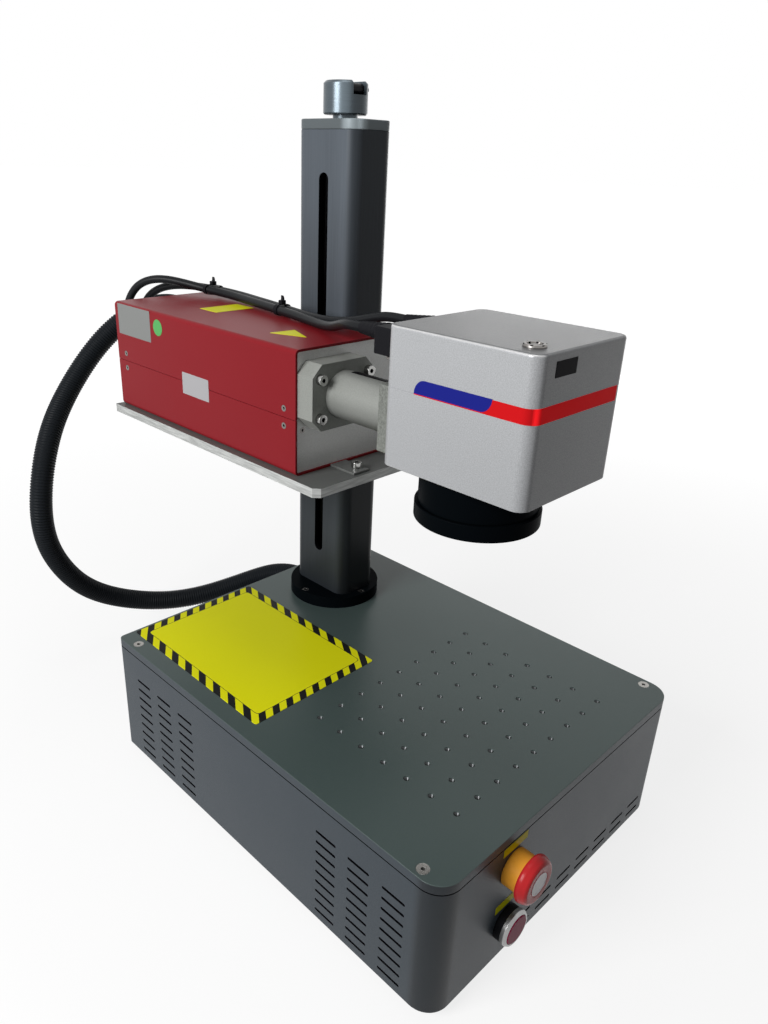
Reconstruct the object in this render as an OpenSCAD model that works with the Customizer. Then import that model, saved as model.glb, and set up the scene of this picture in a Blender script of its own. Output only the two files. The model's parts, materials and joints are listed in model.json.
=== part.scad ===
// Laser marking machine: a low sheet metal base with a drilled work table, a slotted column with a
// hand cranked lead screw, and a lifting shelf that carries a laser source and a mirror scan head.
// Sizes are in mm. X is to the right, Y to the rear, Z up, with the feet on Z = 0.

/* [Base case] */
// Width of the base case, seen from the front
case_w = 328; // [322:1:336]
// Depth of the base case, front wall to rear wall
case_d = 416; // [408:1:440]
// Height of the case walls
case_h = 118; // [116:1:140]
// Radius of the two front upright corners of the case
case_r = 20; // [17:1:23]
// Radius of the two rear upright corners of the case
case_back_r = 5; // [4:0.5:8]
// Thickness of the folded sheet
sheet = 2; // [1.5:0.1:2.5]
// Height of the case walls above the ground
ground_gap = 10; // [8:1:14]
// Width of the flanges folded inwards at top and bottom
lip_in = 12; // [11:1:14]
// Thickness of the floor plate
floor_t = 2; // [1.5:0.5:3]
// Radius of one rubber foot
foot_r = 15; // [10:1:18]
// Distance of the feet from the outside of the case
foot_inset = 45; // [38:1:60]

/* [Vents] */
// Columns of vent slots in one side group
vent_cols = 3; // [1:1:3]
// Rows of vent slots in one side group
vent_rows = 9; // [2:1:9]
// Length of one side vent slot
vent_l = 22.3; // [15:0.1:28]
// Height of one vent slot
vent_h = 2.5; // [2:0.1:4]
// Distance between neighbouring columns of side slots
vent_step = 35.25; // [32:0.25:37]
// Distance between neighbouring rows of side slots
vent_drop = 10.4; // [8:0.1:10.5]
// Depth of the highest row of side slots below the top of the case
vent_top = 26; // [18:1:28]
// Distance of each side group from the middle of the case
vent_group_y = 131; // [90:1:133]
// Columns of slots in the front wall
front_cols = 7; // [2:1:7]
// Length of one front slot
front_l = 21; // [15:1:25]
// Distance between neighbouring front slots
front_step = 30; // [28:0.5:30]
// Distance of the front slots to the right of the middle
front_x = 38; // [38:1:42]
// Height of the lower row of front slots above the bottom of the case
front_up = 8.7; // [7:0.1:10]
// Distance between the two rows of front slots
front_rise = 10.6; // [9:0.1:12]

/* [Work table] */
// Thickness of the table plate
table_t = 9; // [8:0.5:14]
// Height of the shadow groove under the table plate
groove_h = 1; // [0.5:0.1:2]
// Depth of the shadow groove under the table plate
groove_in = 2; // [1:0.1:2.5]
// Columns of work holes
hole_cols = 9; // [3:2:11]
// Rows of work holes
hole_rows = 7; // [3:2:7]
// Distance between neighbouring work holes
hole_step = 25; // [20:1:25]
// Radius of one work hole
hole_r = 2.5; // [1.5:0.1:4]
// Distance of the hole field in front of the middle of the table
hole_front = 93; // [91:1:96]
// Distance of the corner screws from the sides of the table
corner_x = 8; // [8:0.5:9]
// Distance of the corner screws from the front and rear of the table
corner_y = 24; // [22:1:26]
// Width of the blank warning panel on the table
panel_w = 142; // [100:1:150]
// Depth of the blank warning panel on the table
panel_d = 194; // [100:1:196]
// Thickness of the blank warning panel
panel_t = 0.4; // [0.3:0.1:1]
// Distance of the warning panel from the left side of the table
panel_left = 17; // [15:1:22]

/* [Controls] */
// Distance of the emergency stop from the left side of the case
stop_left = 85; // [70:1:100]
// Depth of the emergency stop below the top of the case
stop_down = 26; // [24:1:30]
// Radius of the emergency stop mushroom head
stop_head_r = 19.5; // [18:0.5:20]
// Thickness of the mushroom head
stop_head_h = 10; // [9:0.5:12]
// Radius of the collar round the emergency stop
stop_collar_r = 15.3; // [14:0.1:16]
// Length of the collar in front of the case
stop_collar_h = 14; // [10:0.5:16]
// Travel of the emergency stop
stop_travel = 4; // [3:0.5:4.5]
// Distance of the start button from the left side of the case
button_left = 84.5; // [70:0.5:100]
// Height of the start button above the bottom of the case
button_up = 35; // [32:1:38]
// Radius of the steel bezel round the start button
bezel_r = 15.3; // [14.5:0.1:17]
// Travel of the start button
button_travel = 2.5; // [1:0.1:2.6]

/* [Column] */
// Distance of the column to the right of the middle of the case
column_x = 66.5; // [66:0.5:80]
// Distance of the column behind the middle of the case
column_y = 142.5; // [141:0.5:146]
// Width of the column tube
tube_w = 50; // [50:1:52]
// Depth of the column tube
tube_d = 75; // [74:1:76]
// Outer corner radius of the column tube
tube_r = 12; // [9:1:14]
// Wall thickness of the column tube
tube_t = 5; // [4.5:0.1:5.2]
// Length of the column tube
tube_h = 455; // [450:1:520]
// Width of the slots that the shelf arms run in
slot_w = 12; // [11.8:0.1:14]
// Distance of the slots above the lower end of the tube
slot_up = 47.5; // [30:0.5:50]
// Distance of the slots below the upper end of the tube
slot_down = 34.5; // [25:0.5:36]
// Radius of the round flange on the table
flange_r = 48; // [47:0.5:52]
// Thickness of the round flange
flange_h = 12.5; // [12:0.5:18]
// Depth that the tube is let into the flange
tube_seat = 6; // [4:0.5:6.5]
// Radius of the flange screw circle
flange_screw_r = 42.5; // [42.5:0.1:43.5]
// Thickness of the column cap
cap_t = 8.5; // [8:0.5:12]
// Radius of the lead screw
screw_r = 7; // [6:0.5:8]
// Radius of one guide rod
rod_r = 5; // [4:0.5:6]
// Distance of each guide rod from the lead screw
rod_y = 23; // [21:0.5:24]

/* [Hand crank] */
// Radius of the crank knob
knob_r = 19.5; // [18:0.5:24]
// Height of the crank knob above its neck
knob_h = 26.5; // [24:0.5:36]
// Half width of the folding bar
bar_half = 7.6; // [6:0.1:9]
// Half thickness of the folding bar
bar_thin = 4.5; // [3.5:0.1:4.8]

/* [Lifting shelf] */
// Height of the shelf above the table, as photographed
shelf_lift = 194; // [185:1:205]
// Thickness of the shelf plate
shelf_t = 8; // [6:0.5:12]
// Travel of the shelf up or down
lift_travel = 140; // [100:1:142]
// Height of the nut block in the column
nut_h = 70; // [50:1:74]
// Thickness of the two side brackets
bracket_t = 8; // [6:0.5:9]
// Height of the side brackets
bracket_h = 86; // [80:1:100]

/* [Laser source] */
// Width of the laser housing
laser_w = 114; // [112:1:114]
// Length of the laser housing
laser_l = 272; // [262:1:290]
// Height of the laser housing
laser_h = 103; // [101:1:110]
// Height of the seam between the two shells
seam_up = 47; // [43:1:52]
// Distance of the middle of the laser to the left of the middle of the case
laser_left = 27; // [27:0.5:32]
// Distance of the front of the laser behind the middle of the case
laser_y = 33.5; // [30:0.5:38]
// Distance of the beam to the left of the middle of the laser
beam_left = 22; // [20:0.5:23]
// Height of the beam above the underside of the laser
beam_up = 67; // [65:0.5:69]

/* [Beam expander] */
// Width of the eight sided flange
oct_w = 66; // [62:1:68]
// Height of the eight sided flange
oct_h = 53; // [48:1:56]
// Thickness of the eight sided flange
oct_t = 19; // [12:1:22]
// Radius of the expander tube
expander_r = 19.4; // [16:0.1:22]
// Length of the expander tube
expander_l = 61.5; // [55:0.5:75]
// Radius of the beam bore
beam_r = 12; // [8:0.5:14]
// Side of the square adapter plate
adapter_w = 50; // [46:1:54]
// Thickness of the adapter plate
adapter_t = 9.5; // [6:0.5:14]

/* [Scan head] */
// Width of the scan head
scan_w = 106; // [102:1:112]
// Length of the scan head
scan_l = 123; // [120:1:132]
// Height of the scan head
scan_h = 100; // [98:1:110]
// Radius of the upright corners of the scan head
scan_r = 9; // [5:0.5:11]
// Wall thickness of the scan head
scan_t = 4; // [3:0.5:5]
// Height of the joint between body and cover
scan_part = 57.5; // [57.5:0.5:60]
// Depth of the underside of the scan head below the beam
scan_drop = 30.5; // [28:0.5:32]
// Radius of the lens barrel
barrel_r = 44.5; // [42:0.5:46]
// Height of the lens barrel
barrel_h = 27.5; // [20:0.5:34]
// Radius of the lens front ring
ring_r = 47; // [46.5:0.5:50]
// Height of the lens front ring
ring_h = 12.5; // [10:0.5:16]
// Radius of the lens glass
glass_r = 36; // [30:0.5:38]
// Swing of the two mirrors to each side, in degrees
mirror_swing = 12; // [5:1:12]

/* [Hidden] */
$fn = 48;

// fits and the overrun of every cut
fit = 0.05;
play = 0.3;
over = 1;
// the gap beside a plate that has to drop into place
ease = 1;

// the head of a countersunk M5, the head of a socket head M5 and their common shank
m5_r = 2.5;
m5_sunk_r = 5;
m5_sunk_h = 2.5;
m5_head_r = 4.25;
m5_head_h = 5;
m5_key_r = 1.7;
m5_key_h = 1.8;
table_screw_l = 20;
// countersunk and pan head M3
m3_r = 1.5;
m3_sunk_r = 2.8;
m3_sunk_h = 1.3;
m3_head_r = 2.75;
m3_head_h = 1.8;
m3_key_r = 1.1;
m3_key_h = 1;
// socket head M4 of the column flange
m4_r = 2;
m4_head_r = 3.5;
m4_head_h = 4;
m4_key_r = 1.7;
m4_key_h = 2;

// levels of the base
case_z = ground_gap;
table_z = case_z + case_h;
table_top = table_z + table_t;
floor_z = case_z + sheet;
floor_top = floor_z + floor_t;
foot_chamfer = 1;
base_screw_x_share = 0.5;
post_r = 6;
post_h = 22;

// levels of the column
flange_top = table_top + flange_h;
tube_z = flange_top - tube_seat;
tube_top = tube_z + tube_h;
cap_top = tube_top + cap_t;
bearing_r = 9.5;
bearing_h = 5;
journal_r = 5;
rod_sink = 3;
screw_bore_r = 7;
sink_r = 3.8;
sink_h = 4.5;
knob_gap = 0.3;

// the place and the front and rear reach of the head, which also set the origin
laser_x = -laser_left;
laser_end = laser_y + laser_l;
shelf_front = 32;
shelf_rear = 20.5;
shelf_side = 63;
shelf_back = 4;
shelf_tail = 43;
shelf_y = laser_y - shelf_front;
shelf_end = laser_end + shelf_rear;
skirt_lap = 0.5;
stop_reach = stop_collar_h - skirt_lap + stop_head_h;
base_y = (case_d / 2 + stop_reach - shelf_end) / 2;

// levels of the head
shelf_z = table_top + shelf_lift;
shelf_top = shelf_z + shelf_t;
bracket_off = 26.5;
bracket_front = 82.5;
bracket_back = 36;
cross_gap = 1.5;
shelf_cut = 5;
nut_up = 6;
nut_half_x = 18;
nut_half_y = 29;
arm_w = 11;
shell_t = 2;
shell_r = 4;
seam_gap = 0.5;
plate_t = 4;
plate_in = 1.5;
core_wall = 8;
beam_x = laser_x - beam_left;
beam_z = shelf_top + beam_up;
laser_top = shelf_top + laser_h;
seam_z = shelf_top + seam_up;

// the stop and button on the front wall
stop_x = stop_left - case_w / 2;
stop_z = table_z - stop_down;
button_x = button_left - case_w / 2;
button_z = case_z + button_up;
neck_r = 11.1;
neck_l = 18;
nut_r = 15;
nut_t = 5;
stem_r = 6;
stem_in = 16;
skirt_r = stop_collar_r + 2 * play;
skirt_h = stop_travel + skirt_lap + play;
dome_in = 2;
dome_h = 1.6;
button_collar_r = 14.8;
button_collar_h = 6;
bezel_h = 5.5;
lens_r = 12.1;
lens_h = 3.2;
lens_out = 0.5;
block_half = 12;
block_l = 28;
block_bore = 6;
label_w = 30;
label_h = 7.5;
label_t = 0.3;
label_down = 0.8;
label_up = 2.2;

// what stands inside the base
supply_w = 80;
supply_l = 180;
supply_h = 40;
supply_left = 14;
supply_front = 78;
supply_lip = 12;
terminal_w = 9;
board_w = 100;
board_l = 180;
board_t = 1.6;
board_right = 24;
board_front = 88;
standoff_r = 3.5;
standoff_h = 6;
standoff_in = 6;
chip_h = 12;
fan_side = 80;
fan_t = 25;
fan_r = 38;
fan_left = 20;
fan_down = 58;
fan_corner = 5;
fan_hub_r = 15;
fan_pin_r = 2;
fan_back = 3;
fan_strut = 3;
fan_screw = 35.75;
fan_blades = 7;
blade_t = 1.6;
blade_lean = 38;
blade_run = 1.5;
grille_slots = 7;
grille_step = 9;
grille_h = 5;
inlet_left = 54;
inlet_up = 35;
inlet_w = 30;
inlet_h = 58;
inlet_body_w = 26;
inlet_body_h = 50;
inlet_face = 2;
inlet_l = 28;
socket_w = 22;
socket_h = 17;
socket_l = 16;
socket_down = 10;
prong_w = 2;
prong_h = 5;
prong_step = 7;
prong_l = 12;
rocker_r = 7;
rocker_w = 18;
rocker_up = 12;
rocker_pin_r = 1;
rocker_pin_l = 1.5;
rocker_lean = 10;
rocker_sink = 3;

// glands at both ends of the hose
gland_r = 15;
gland_neck_r = 9.5;
gland_bore_r = 8.5;
gland_flange_t = 3;
gland_out = 14;

// hose and cables; the points steer the curves, which start at the second point and end at the
// last but one, in mm, with Y from the middle of the base case
hose_r = 12;
hose_root_r = 10.6;
hose_bore_r = 9;
hose_ribs = 180;
hose_bore_rings = 90;
hose_sides = 8;
hose_fine = 12;
hose_points = [[13, 294.3, 422], [13, 318.3, 422], [13, 342.3, 422], [13, 366.3, 422],
    [6, 393, 416], [-10, 415, 403], [-33, 427, 383], [-62, 431, 353], [-93, 423, 321],
    [-118, 405, 299], [-138, 387, 275], [-152, 376, 244], [-158, 374, 208], [-153, 380, 172],
    [-140, 386, 140], [-121, 391, 109], [-97, 394, 84], [-66, 395, 63], [-33, 389, 49],
    [-1, 376, 43], [31, 360, 45], [62, 343, 53], [90, 323, 65], [109, 299, 78], [118, 270, 84],
    [118, 246, 84], [118, 222, 84], [118, 198, 84]];
cable_r = 4;
cable_sides = 8;
cable_fine = 2;
cable_a_points = [[-50, 301, 400], [-50, 310, 400], [-50, 319, 400], [-50, 328, 400],
    [-50, 340, 404], [-48, 350, 416], [-44, 351, 433], [-38, 340, 451], [-27, 319, 459],
    [-13, 295, 456], [0, 272, 451], [7, 240, 449], [3, 200, 448], [-2, 160, 447.6],
    [-8, 120, 447.3], [-15, 86, 446.8], [-25, 57, 449], [-36, 35, 456], [-44, 20, 459.6],
    [-45, 6, 460], [-45, -1, 460], [-45, -8, 460], [-45, -15, 460]];
cable_b_points = [[-30, 301, 400], [-30, 310, 400], [-30, 319, 400], [-30, 328, 400],
    [-30, 339, 403], [-29, 348, 414], [-26, 350, 429], [-20, 339, 443], [-10, 321, 450],
    [1, 301, 451], [13, 280, 449.5], [18, 240, 448], [12, 200, 447.6], [7, 160, 447.3],
    [0, 122, 447], [-3, 90, 447], [0, 62, 449.5], [3, 40, 456], [5, 24, 460], [5, 8, 460],
    [5, 0, 460], [5, -8, 460], [5, -16, 460]];

// the crank
neck_knob_r = 11;
neck_knob_h = 3.5;
knob_z = cap_top + knob_gap + neck_knob_h;
knob_top = knob_z + knob_h - knob_gap;
knob_chamfer = 2;
knob_bore_h = 10;
pin_r = 2;
pin_y = 10.5;
pin_down = 6;
pin_z = knob_top - pin_down;
bar_end = 16.5;
slot_floor = bar_thin + play;

// lens, mirrors and motors
lens_x = beam_x + beam_left;
scan_end = laser_y + plate_in - oct_t - expander_l - adapter_t;
scan_y = scan_end - scan_l;
scan_z = beam_z - scan_drop;
scan_top = scan_z + scan_h;
part_z = scan_z + scan_part;
lens_back = 51.6;
lens_y = scan_end - lens_back;
aperture_r = 16;
barrel_bore_r = 34;
glass_t = 6;
glass_in = 2;
motor_r = 9;
motor_l = 40;
shoulder_r = 11;
shoulder_h = 4;
bridge_t = 8;
bridge_up = 15;
bridge_half = 15;
wall_front = 18.4;
shaft_r = 1.5;
mirror_t = 2;
mirror_half = 7;
mirror_long = 12;
plug_r = 7.5;
plug_h = 2;
plug_side = 20;
plug_front = 18;
hood_w = 30;
hood_l = 30;
hood_h = 20;
hood_up = 71.5;
hood_relief_r = 4.75;
hood_relief_l = 17;
hood_relief_up = 13;
hood_left = 18;
hood_right = 32;

// the expander bolts and the laser feet
oct_cut = 9.5;
bolt_x = 25.7;
bolt_z = 15.4;
bolt_hold = 6;
foot_tab_w = 18;
foot_tab_t = 2;
foot_tab_l = 28.5;
foot_tab_rear_l = 19;
foot_tab_left = -0.5;
foot_screw_right = 2.5;
foot_screw_out = 19.5;
foot_screw_rear = 9.5;
side_screw_in = 14.5;
side_screw_z = 7.2;
plate_screw_x = 48.2;
plate_screw_low = 37.4;
plate_screw_high = 83.6;
bush_r = 7;
bush_l = 6;
bush_a = -50;
bush_b = -30;
bush_z = 400;

// Helpers

module placed() {
    translate([0, base_y, 0])
        children();
}

module rrect(w, d, r) {
    square([w - 2 * r, d], center = true);
    square([w, d - 2 * r], center = true);
    for (x = [-1, 1], y = [-1, 1])
        translate([x * (w / 2 - r), y * (d / 2 - r)])
            circle(r = r);
}

// the outline of the case drawn in by some distance: wide front corners, tight rear corners
module case_outline(drawn_in) {
    w = case_w / 2 - drawn_in;
    d = case_d / 2 - drawn_in;
    r = max(case_r - drawn_in, 1);
    q = max(case_back_r - drawn_in, 1);
    translate([r - w, -d])
        square([2 * (w - r), 2 * d]);
    translate([-w, r - d])
        square([2 * w, 2 * d - r - q]);
    translate([q - w, 0])
        square([2 * (w - q), d]);
    for (x = [-1, 1]) {
        translate([x * (w - r), r - d])
            circle(r = r);
        translate([x * (w - q), d - q])
            circle(r = q);
    }
}

module slot2d(l, w) {
    square([l - w, w], center = true);
    for (x = [-1, 1])
        translate([x * (l - w) / 2, 0])
            circle(r = w / 2);
}

// a flat outline in X and Z, drawn out from y0 to y1
module along_y(y0, y1) {
    translate([0, y1, 0])
        rotate([90, 0, 0])
            linear_extrude(y1 - y0)
                children();
}

// a flat outline in Y and Z, drawn out from x0 to x1
module along_x(x0, x1) {
    translate([x0, 0, 0])
        rotate([90, 0, 90])
            linear_extrude(x1 - x0)
                children();
}

module slab(z0, z1) {
    translate([0, 0, z0])
        linear_extrude(z1 - z0)
            children();
}

module rod_up(x, y, z0, z1, r) {
    translate([x, y, z0])
        cylinder(r = r, h = z1 - z0);
}

module rod_back(x, z, y0, y1, r) {
    translate([x, y1, z])
        rotate([90, 0, 0])
            cylinder(r = r, h = y1 - y0);
}

module rod_side(y, z, x0, x1, r) {
    translate([x0, y, z])
        rotate([0, 90, 0])
            cylinder(r = r, h = x1 - x0);
}

// a box from its lowest to its highest corner
module block(x0, x1, y0, y1, z0, z1) {
    translate([x0, y0, z0])
        cube([x1 - x0, y1 - y0, z1 - z0]);
}

// a countersunk screw that points down, head on top at zero
module sunk_screw(r, head_r, head_h, key_r, key_h, l) {
    difference() {
        rotate_extrude()
            polygon([[0, 0], [head_r, 0], [r, -head_h], [r, -l], [0, -l]]);
        translate([0, 0, -key_h])
            cylinder(r = key_r, h = key_h + over, $fn = 6);
    }
}

// the hole for the same screw, wider by the fit
module sunk_hole(r, head_r, head_h, l) {
    rotate_extrude()
        polygon([[0, over], [head_r + fit, over], [head_r + fit, 0], [r + fit, -head_h],
            [r + fit, -l - fit], [0, -l - fit]]);
}

// a screw with a round head that stands on zero and points down
module head_screw(r, head_r, head_h, key_r, key_h, l) {
    difference() {
        union() {
            cylinder(r = head_r, h = head_h);
            translate([0, 0, -l])
                cylinder(r = r, h = l + head_h / 2);
        }
        translate([0, 0, head_h - key_h])
            cylinder(r = key_r, h = key_h + over, $fn = 6);
    }
}

module front_face(x, z) {
    translate([x, -case_d / 2, z])
        rotate([90, 0, 0])
            children();
}

module corners(x, y) {
    for (sx = [-1, 1], sy = [-1, 1])
        translate([sx * x, sy * y, 0])
            children();
}

// Paths of the hose and the cables

function unit(v) = v / norm(v);

function bent(p, n) = concat([for (i = [1 : len(p) - 3], k = [0 : n - 1])
    let (t = k / n)
    (pow(1 - t, 3) * p[i - 1] + (3 * pow(t, 3) - 6 * t * t + 4) * p[i]
        + (-3 * pow(t, 3) + 3 * t * t + 3 * t + 1) * p[i + 1] + pow(t, 3) * p[i + 2]) / 6],
    [(p[len(p) - 3] + 4 * p[len(p) - 2] + p[len(p) - 1]) / 6]);

function run(p) = [for (i = 0, s = 0; i < len(p); s = s + (i + 1 < len(p) ? norm(p[i + 1] - p[i]) : 0),
    i = i + 1) s];

function spaced(p, n) = let (s = run(p), last = s[len(s) - 1])
    [for (k = [0 : n]) [for (a = [0 : 2])
        lookup(last * k / n, [for (i = [0 : len(p) - 1]) [s[i], p[i][a]]])]];

function tangents(p) = let (m = len(p) - 1) [for (i = [0 : m])
    unit(p[min(i + 1, m)] - p[max(i - 1, 0)])];

function sides(t) = [for (i = 0, u = unit(cross(t[0], [0, 0, 1])); i < len(t); i = i + 1,
    u = i < len(t) ? unit(u - t[i] * (u * t[i])) : u) u];

function rings(p, r, n) = let (t = tangents(p), u = sides(t))
    [for (i = [0 : len(p) - 1], k = [0 : n - 1])
        p[i] + r[i % len(r)] * (cos(360 * k / n) * u[i] + sin(360 * k / n) * cross(t[i], u[i]))];

function skin(m, n, first, flip) = [for (i = [0 : m - 2], k = [0 : n - 1], h = [0, 1])
    let (a = first + i * n + k, b = first + i * n + (k + 1) % n)
    h == 0 ? (flip ? [a, a + n, b] : [a, b, a + n]) : (flip ? [b, a + n, b + n] : [b, b + n, a + n])];

module cable(points) {
    p = bent(points, cable_fine);
    n = cable_sides;
    m = len(p);
    polyhedron(points = rings(p, [cable_r], n), faces = concat(
        skin(m, n, 0, false),
        [for (k = [1 : n - 2]) [0, k + 1, k]],
        [for (k = [1 : n - 2]) [(m - 1) * n, (m - 1) * n + k, (m - 1) * n + k + 1]]));
}

// Base

module case_shell() color("dimgray") placed() {
    difference() {
        union() {
            slab(case_z, table_z)
                difference() {
                    case_outline(0);
                    case_outline(sheet);
                }
            for (z = [case_z, table_z - sheet])
                slab(z, z + sheet)
                    difference() {
                        case_outline(0);
                        case_outline(sheet + lip_in);
                    }
            intersection() {
                corners(case_w / 2 - corner_x, case_d / 2 - corner_y)
                    rod_up(0, 0, table_z - post_h, table_z, post_r);
                slab(case_z, table_z)
                    case_outline(0);
            }
        }
        corners(case_w / 2 - corner_x, case_d / 2 - corner_y)
            rod_up(0, 0, table_z - post_h - over, table_z + over, m5_r + fit);
        side_vents();
        front_vents();
        for (b = [[stop_x, stop_z], [button_x, button_z]])
            front_face(b[0], b[1])
                translate([0, 0, -sheet - over])
                    cylinder(r = neck_r + fit, h = sheet + 2 * over);
        base_screw_places()
            translate([0, 0, case_z - over])
                cylinder(r = m3_r + fit, h = sheet + 2 * over);
        along_y(case_d / 2 - sheet - over, case_d / 2 + over)
            rear_cuts();
    }
}

module side_vents() {
    rows = min(vent_rows, floor((case_h - vent_top - sheet - 2 * vent_h) / vent_drop) + 1);
    along_x(-case_w / 2 - over, case_w / 2 + over)
        for (g = [-1, 1], c = [0 : vent_cols - 1], r = [0 : rows - 1])
            translate([g * vent_group_y + (c - (vent_cols - 1) / 2) * vent_step,
                table_z - vent_top - r * vent_drop])
                slot2d(vent_l, vent_h);
}

module front_vents() {
    along_y(-case_d / 2 - over, -case_d / 2 + sheet + over)
        for (c = [0 : front_cols - 1], r = [0, 1])
            translate([front_x + (c - (front_cols - 1) / 2) * front_step,
                case_z + front_up + r * front_rise])
                slot2d(front_l, vent_h);
}

module rear_cuts() {
    intersection() {
        translate([-fan_left, table_z - fan_down])
            for (k = [0 : grille_slots - 1])
                translate([0, (k - (grille_slots - 1) / 2) * grille_step])
                    square([fan_side, grille_h], center = true);
        translate([-fan_left, table_z - fan_down])
            circle(r = fan_r);
    }
    translate([inlet_left - case_w / 2, case_z + inlet_up])
        square([inlet_body_w + 2 * fit, inlet_body_h + 2 * fit], center = true);
    translate([hose_exit()[0], hose_exit()[2]])
        circle(r = gland_neck_r + fit);
    for (x = [-1, 1], z = [-1, 1])
        translate([x * fan_screw - fan_left, z * fan_screw + table_z - fan_down])
            circle(r = m3_r + fit);
}

function hose_exit() = hose_points[len(hose_points) - 2];

module base_screw_places() {
    in = sheet + lip_in / 2;
    for (x = [-1, 1])
        translate([x * (case_w / 2 - in), 0, 0])
            children();
    for (x = [-1, 1], y = [-1, 1])
        translate([x * case_w / 4, y * (case_d / 2 - in), 0])
            children();
}

module floor_plate() color("silver") placed() {
    difference() {
        union() {
            slab(floor_z, floor_top)
                case_outline(sheet + ease);
            board_places()
                rod_up(0, 0, floor_top, floor_top + standoff_h, standoff_r);
        }
        board_places()
            rod_up(0, 0, floor_top, floor_top + standoff_h + over, m3_r);
        base_screw_places()
            rod_up(0, 0, floor_z - over, floor_top + over, m3_r + fit);
    }
}

module board_places() {
    translate([case_w / 2 - board_right - board_w / 2, board_front + board_l / 2 - case_d / 2, 0])
        corners(board_w / 2 - standoff_in, board_l / 2 - standoff_in)
            children();
}

module base_screws() color("black") placed() {
    base_screw_places()
        translate([0, 0, case_z])
            mirror([0, 0, 1])
                head_screw(m3_r, m3_head_r, m3_head_h, m3_key_r, m3_key_h, sheet + floor_t);
    for (x = [-1, 1], z = [-1, 1])
        translate([x * fan_screw - fan_left, case_d / 2, z * fan_screw + table_z - fan_down])
            rotate([-90, 0, 0])
                head_screw(m3_r, m3_head_r, m3_head_h, m3_key_r, m3_key_h, sheet + 2 * fan_back);
}

module rubber_feet() color("black") placed() {
    corners(case_w / 2 - foot_inset, case_d / 2 - foot_inset)
        rotate_extrude()
            polygon([[0, 0], [foot_r - foot_chamfer, 0], [foot_r, foot_chamfer], [foot_r, floor_z],
                [0, floor_z]]);
}

module table_plate() color("darkslategray") placed() {
    difference() {
        union() {
            slab(table_z + groove_h, table_top)
                case_outline(0);
            slab(table_z, table_z + groove_h + (table_t - groove_h) / 2)
                case_outline(groove_in);
        }
        for (c = [0 : hole_cols - 1], r = [0 : hole_rows - 1])
            rod_up((c - (hole_cols - 1) / 2) * hole_step,
                (r - (hole_rows - 1) / 2) * hole_step - hole_front, table_z - over, table_top + over,
                hole_r);
        translate([0, 0, table_top])
            corners(case_w / 2 - corner_x, case_d / 2 - corner_y)
                sunk_hole(m5_r, m5_sunk_r, m5_sunk_h, table_t + over);
        flange_screw_places()
            rod_up(0, 0, table_z - over, table_top + over, m4_r + fit);
    }
}

module flange_screw_places() {
    translate([column_x, column_y, 0])
        for (a = [0 : 90 : 270])
            rotate([0, 0, a])
                translate([flange_screw_r, 0, 0])
                    children();
}

module table_screws() color("silver") placed() {
    translate([0, 0, table_top])
        corners(case_w / 2 - corner_x, case_d / 2 - corner_y)
            sunk_screw(m5_r, m5_sunk_r, m5_sunk_h, m5_key_r, m5_key_h, table_screw_l);
}

module safety_panel() color("gold") placed() {
    translate([panel_left - case_w / 2 + panel_w / 2,
        case_d / 2 - panel_d / 2 - groove_in - over, 0])
        slab(table_top, table_top + panel_t)
            rrect(panel_w, panel_d, foot_chamfer);
}

module column_flange() color("black") placed() {
    difference() {
        rod_up(column_x, column_y, table_top, flange_top, flange_r);
        translate([column_x, column_y, 0]) {
            slab(tube_z, flange_top + over)
                rrect(tube_w + 2 * fit, tube_d + 2 * fit, tube_r + fit);
            rod_up(0, 0, tube_z - bearing_h, tube_z + over, bearing_r + fit);
            rod_places()
                rod_up(0, 0, tube_z - rod_sink, tube_z + over, rod_r + fit);
        }
        flange_screw_places() {
            rod_up(0, 0, table_top - over, flange_top + over, m4_r + fit);
            rod_up(0, 0, flange_top - sink_h, flange_top + over, sink_r);
        }
    }
}

module rod_places() {
    for (y = [-1, 1])
        translate([0, y * rod_y, 0])
            children();
}

module column_screws() color("black") placed() {
    flange_screw_places()
        translate([0, 0, flange_top - sink_h])
            head_screw(m4_r, m4_head_r, m4_head_h, m4_key_r, m4_key_h, flange_h - sink_h + table_t);
}

module column_tube() color("gray") placed() {
    translate([column_x, column_y, 0])
        difference() {
            slab(tube_z, tube_top)
                difference() {
                    rrect(tube_w, tube_d, tube_r);
                    rrect(tube_w - 2 * tube_t, tube_d - 2 * tube_t, tube_r - tube_t);
                }
            along_x(-tube_w / 2 - over, tube_w / 2 + over)
                translate([0, (tube_z + slot_up + tube_top - slot_down) / 2])
                    rotate([0, 0, 90])
                        slot2d(tube_h - slot_up - slot_down, slot_w);
        }
}

module column_cap() color("dimgray") placed() {
    translate([column_x, column_y, 0])
        difference() {
            slab(tube_top, cap_top)
                rrect(tube_w, tube_d, tube_r);
            rod_up(0, 0, tube_top - over, tube_top + bearing_h, bearing_r + fit);
            rod_up(0, 0, tube_top - over, cap_top + over, screw_bore_r);
            rod_places()
                rod_up(0, 0, tube_top - over, tube_top + rod_sink, rod_r + fit);
        }
}

module guide_rods() color("silver") placed() {
    translate([column_x, column_y, 0])
        rod_places()
            rod_up(0, 0, tube_z - rod_sink, tube_top + rod_sink, rod_r);
}

module screw_bearings() color("silver") placed() {
    translate([column_x, column_y, 0])
        for (z = [tube_z - bearing_h, tube_top])
            slab(z, z + bearing_h)
                difference() {
                    circle(r = bearing_r);
                    circle(r = journal_r + fit);
                }
}

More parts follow.
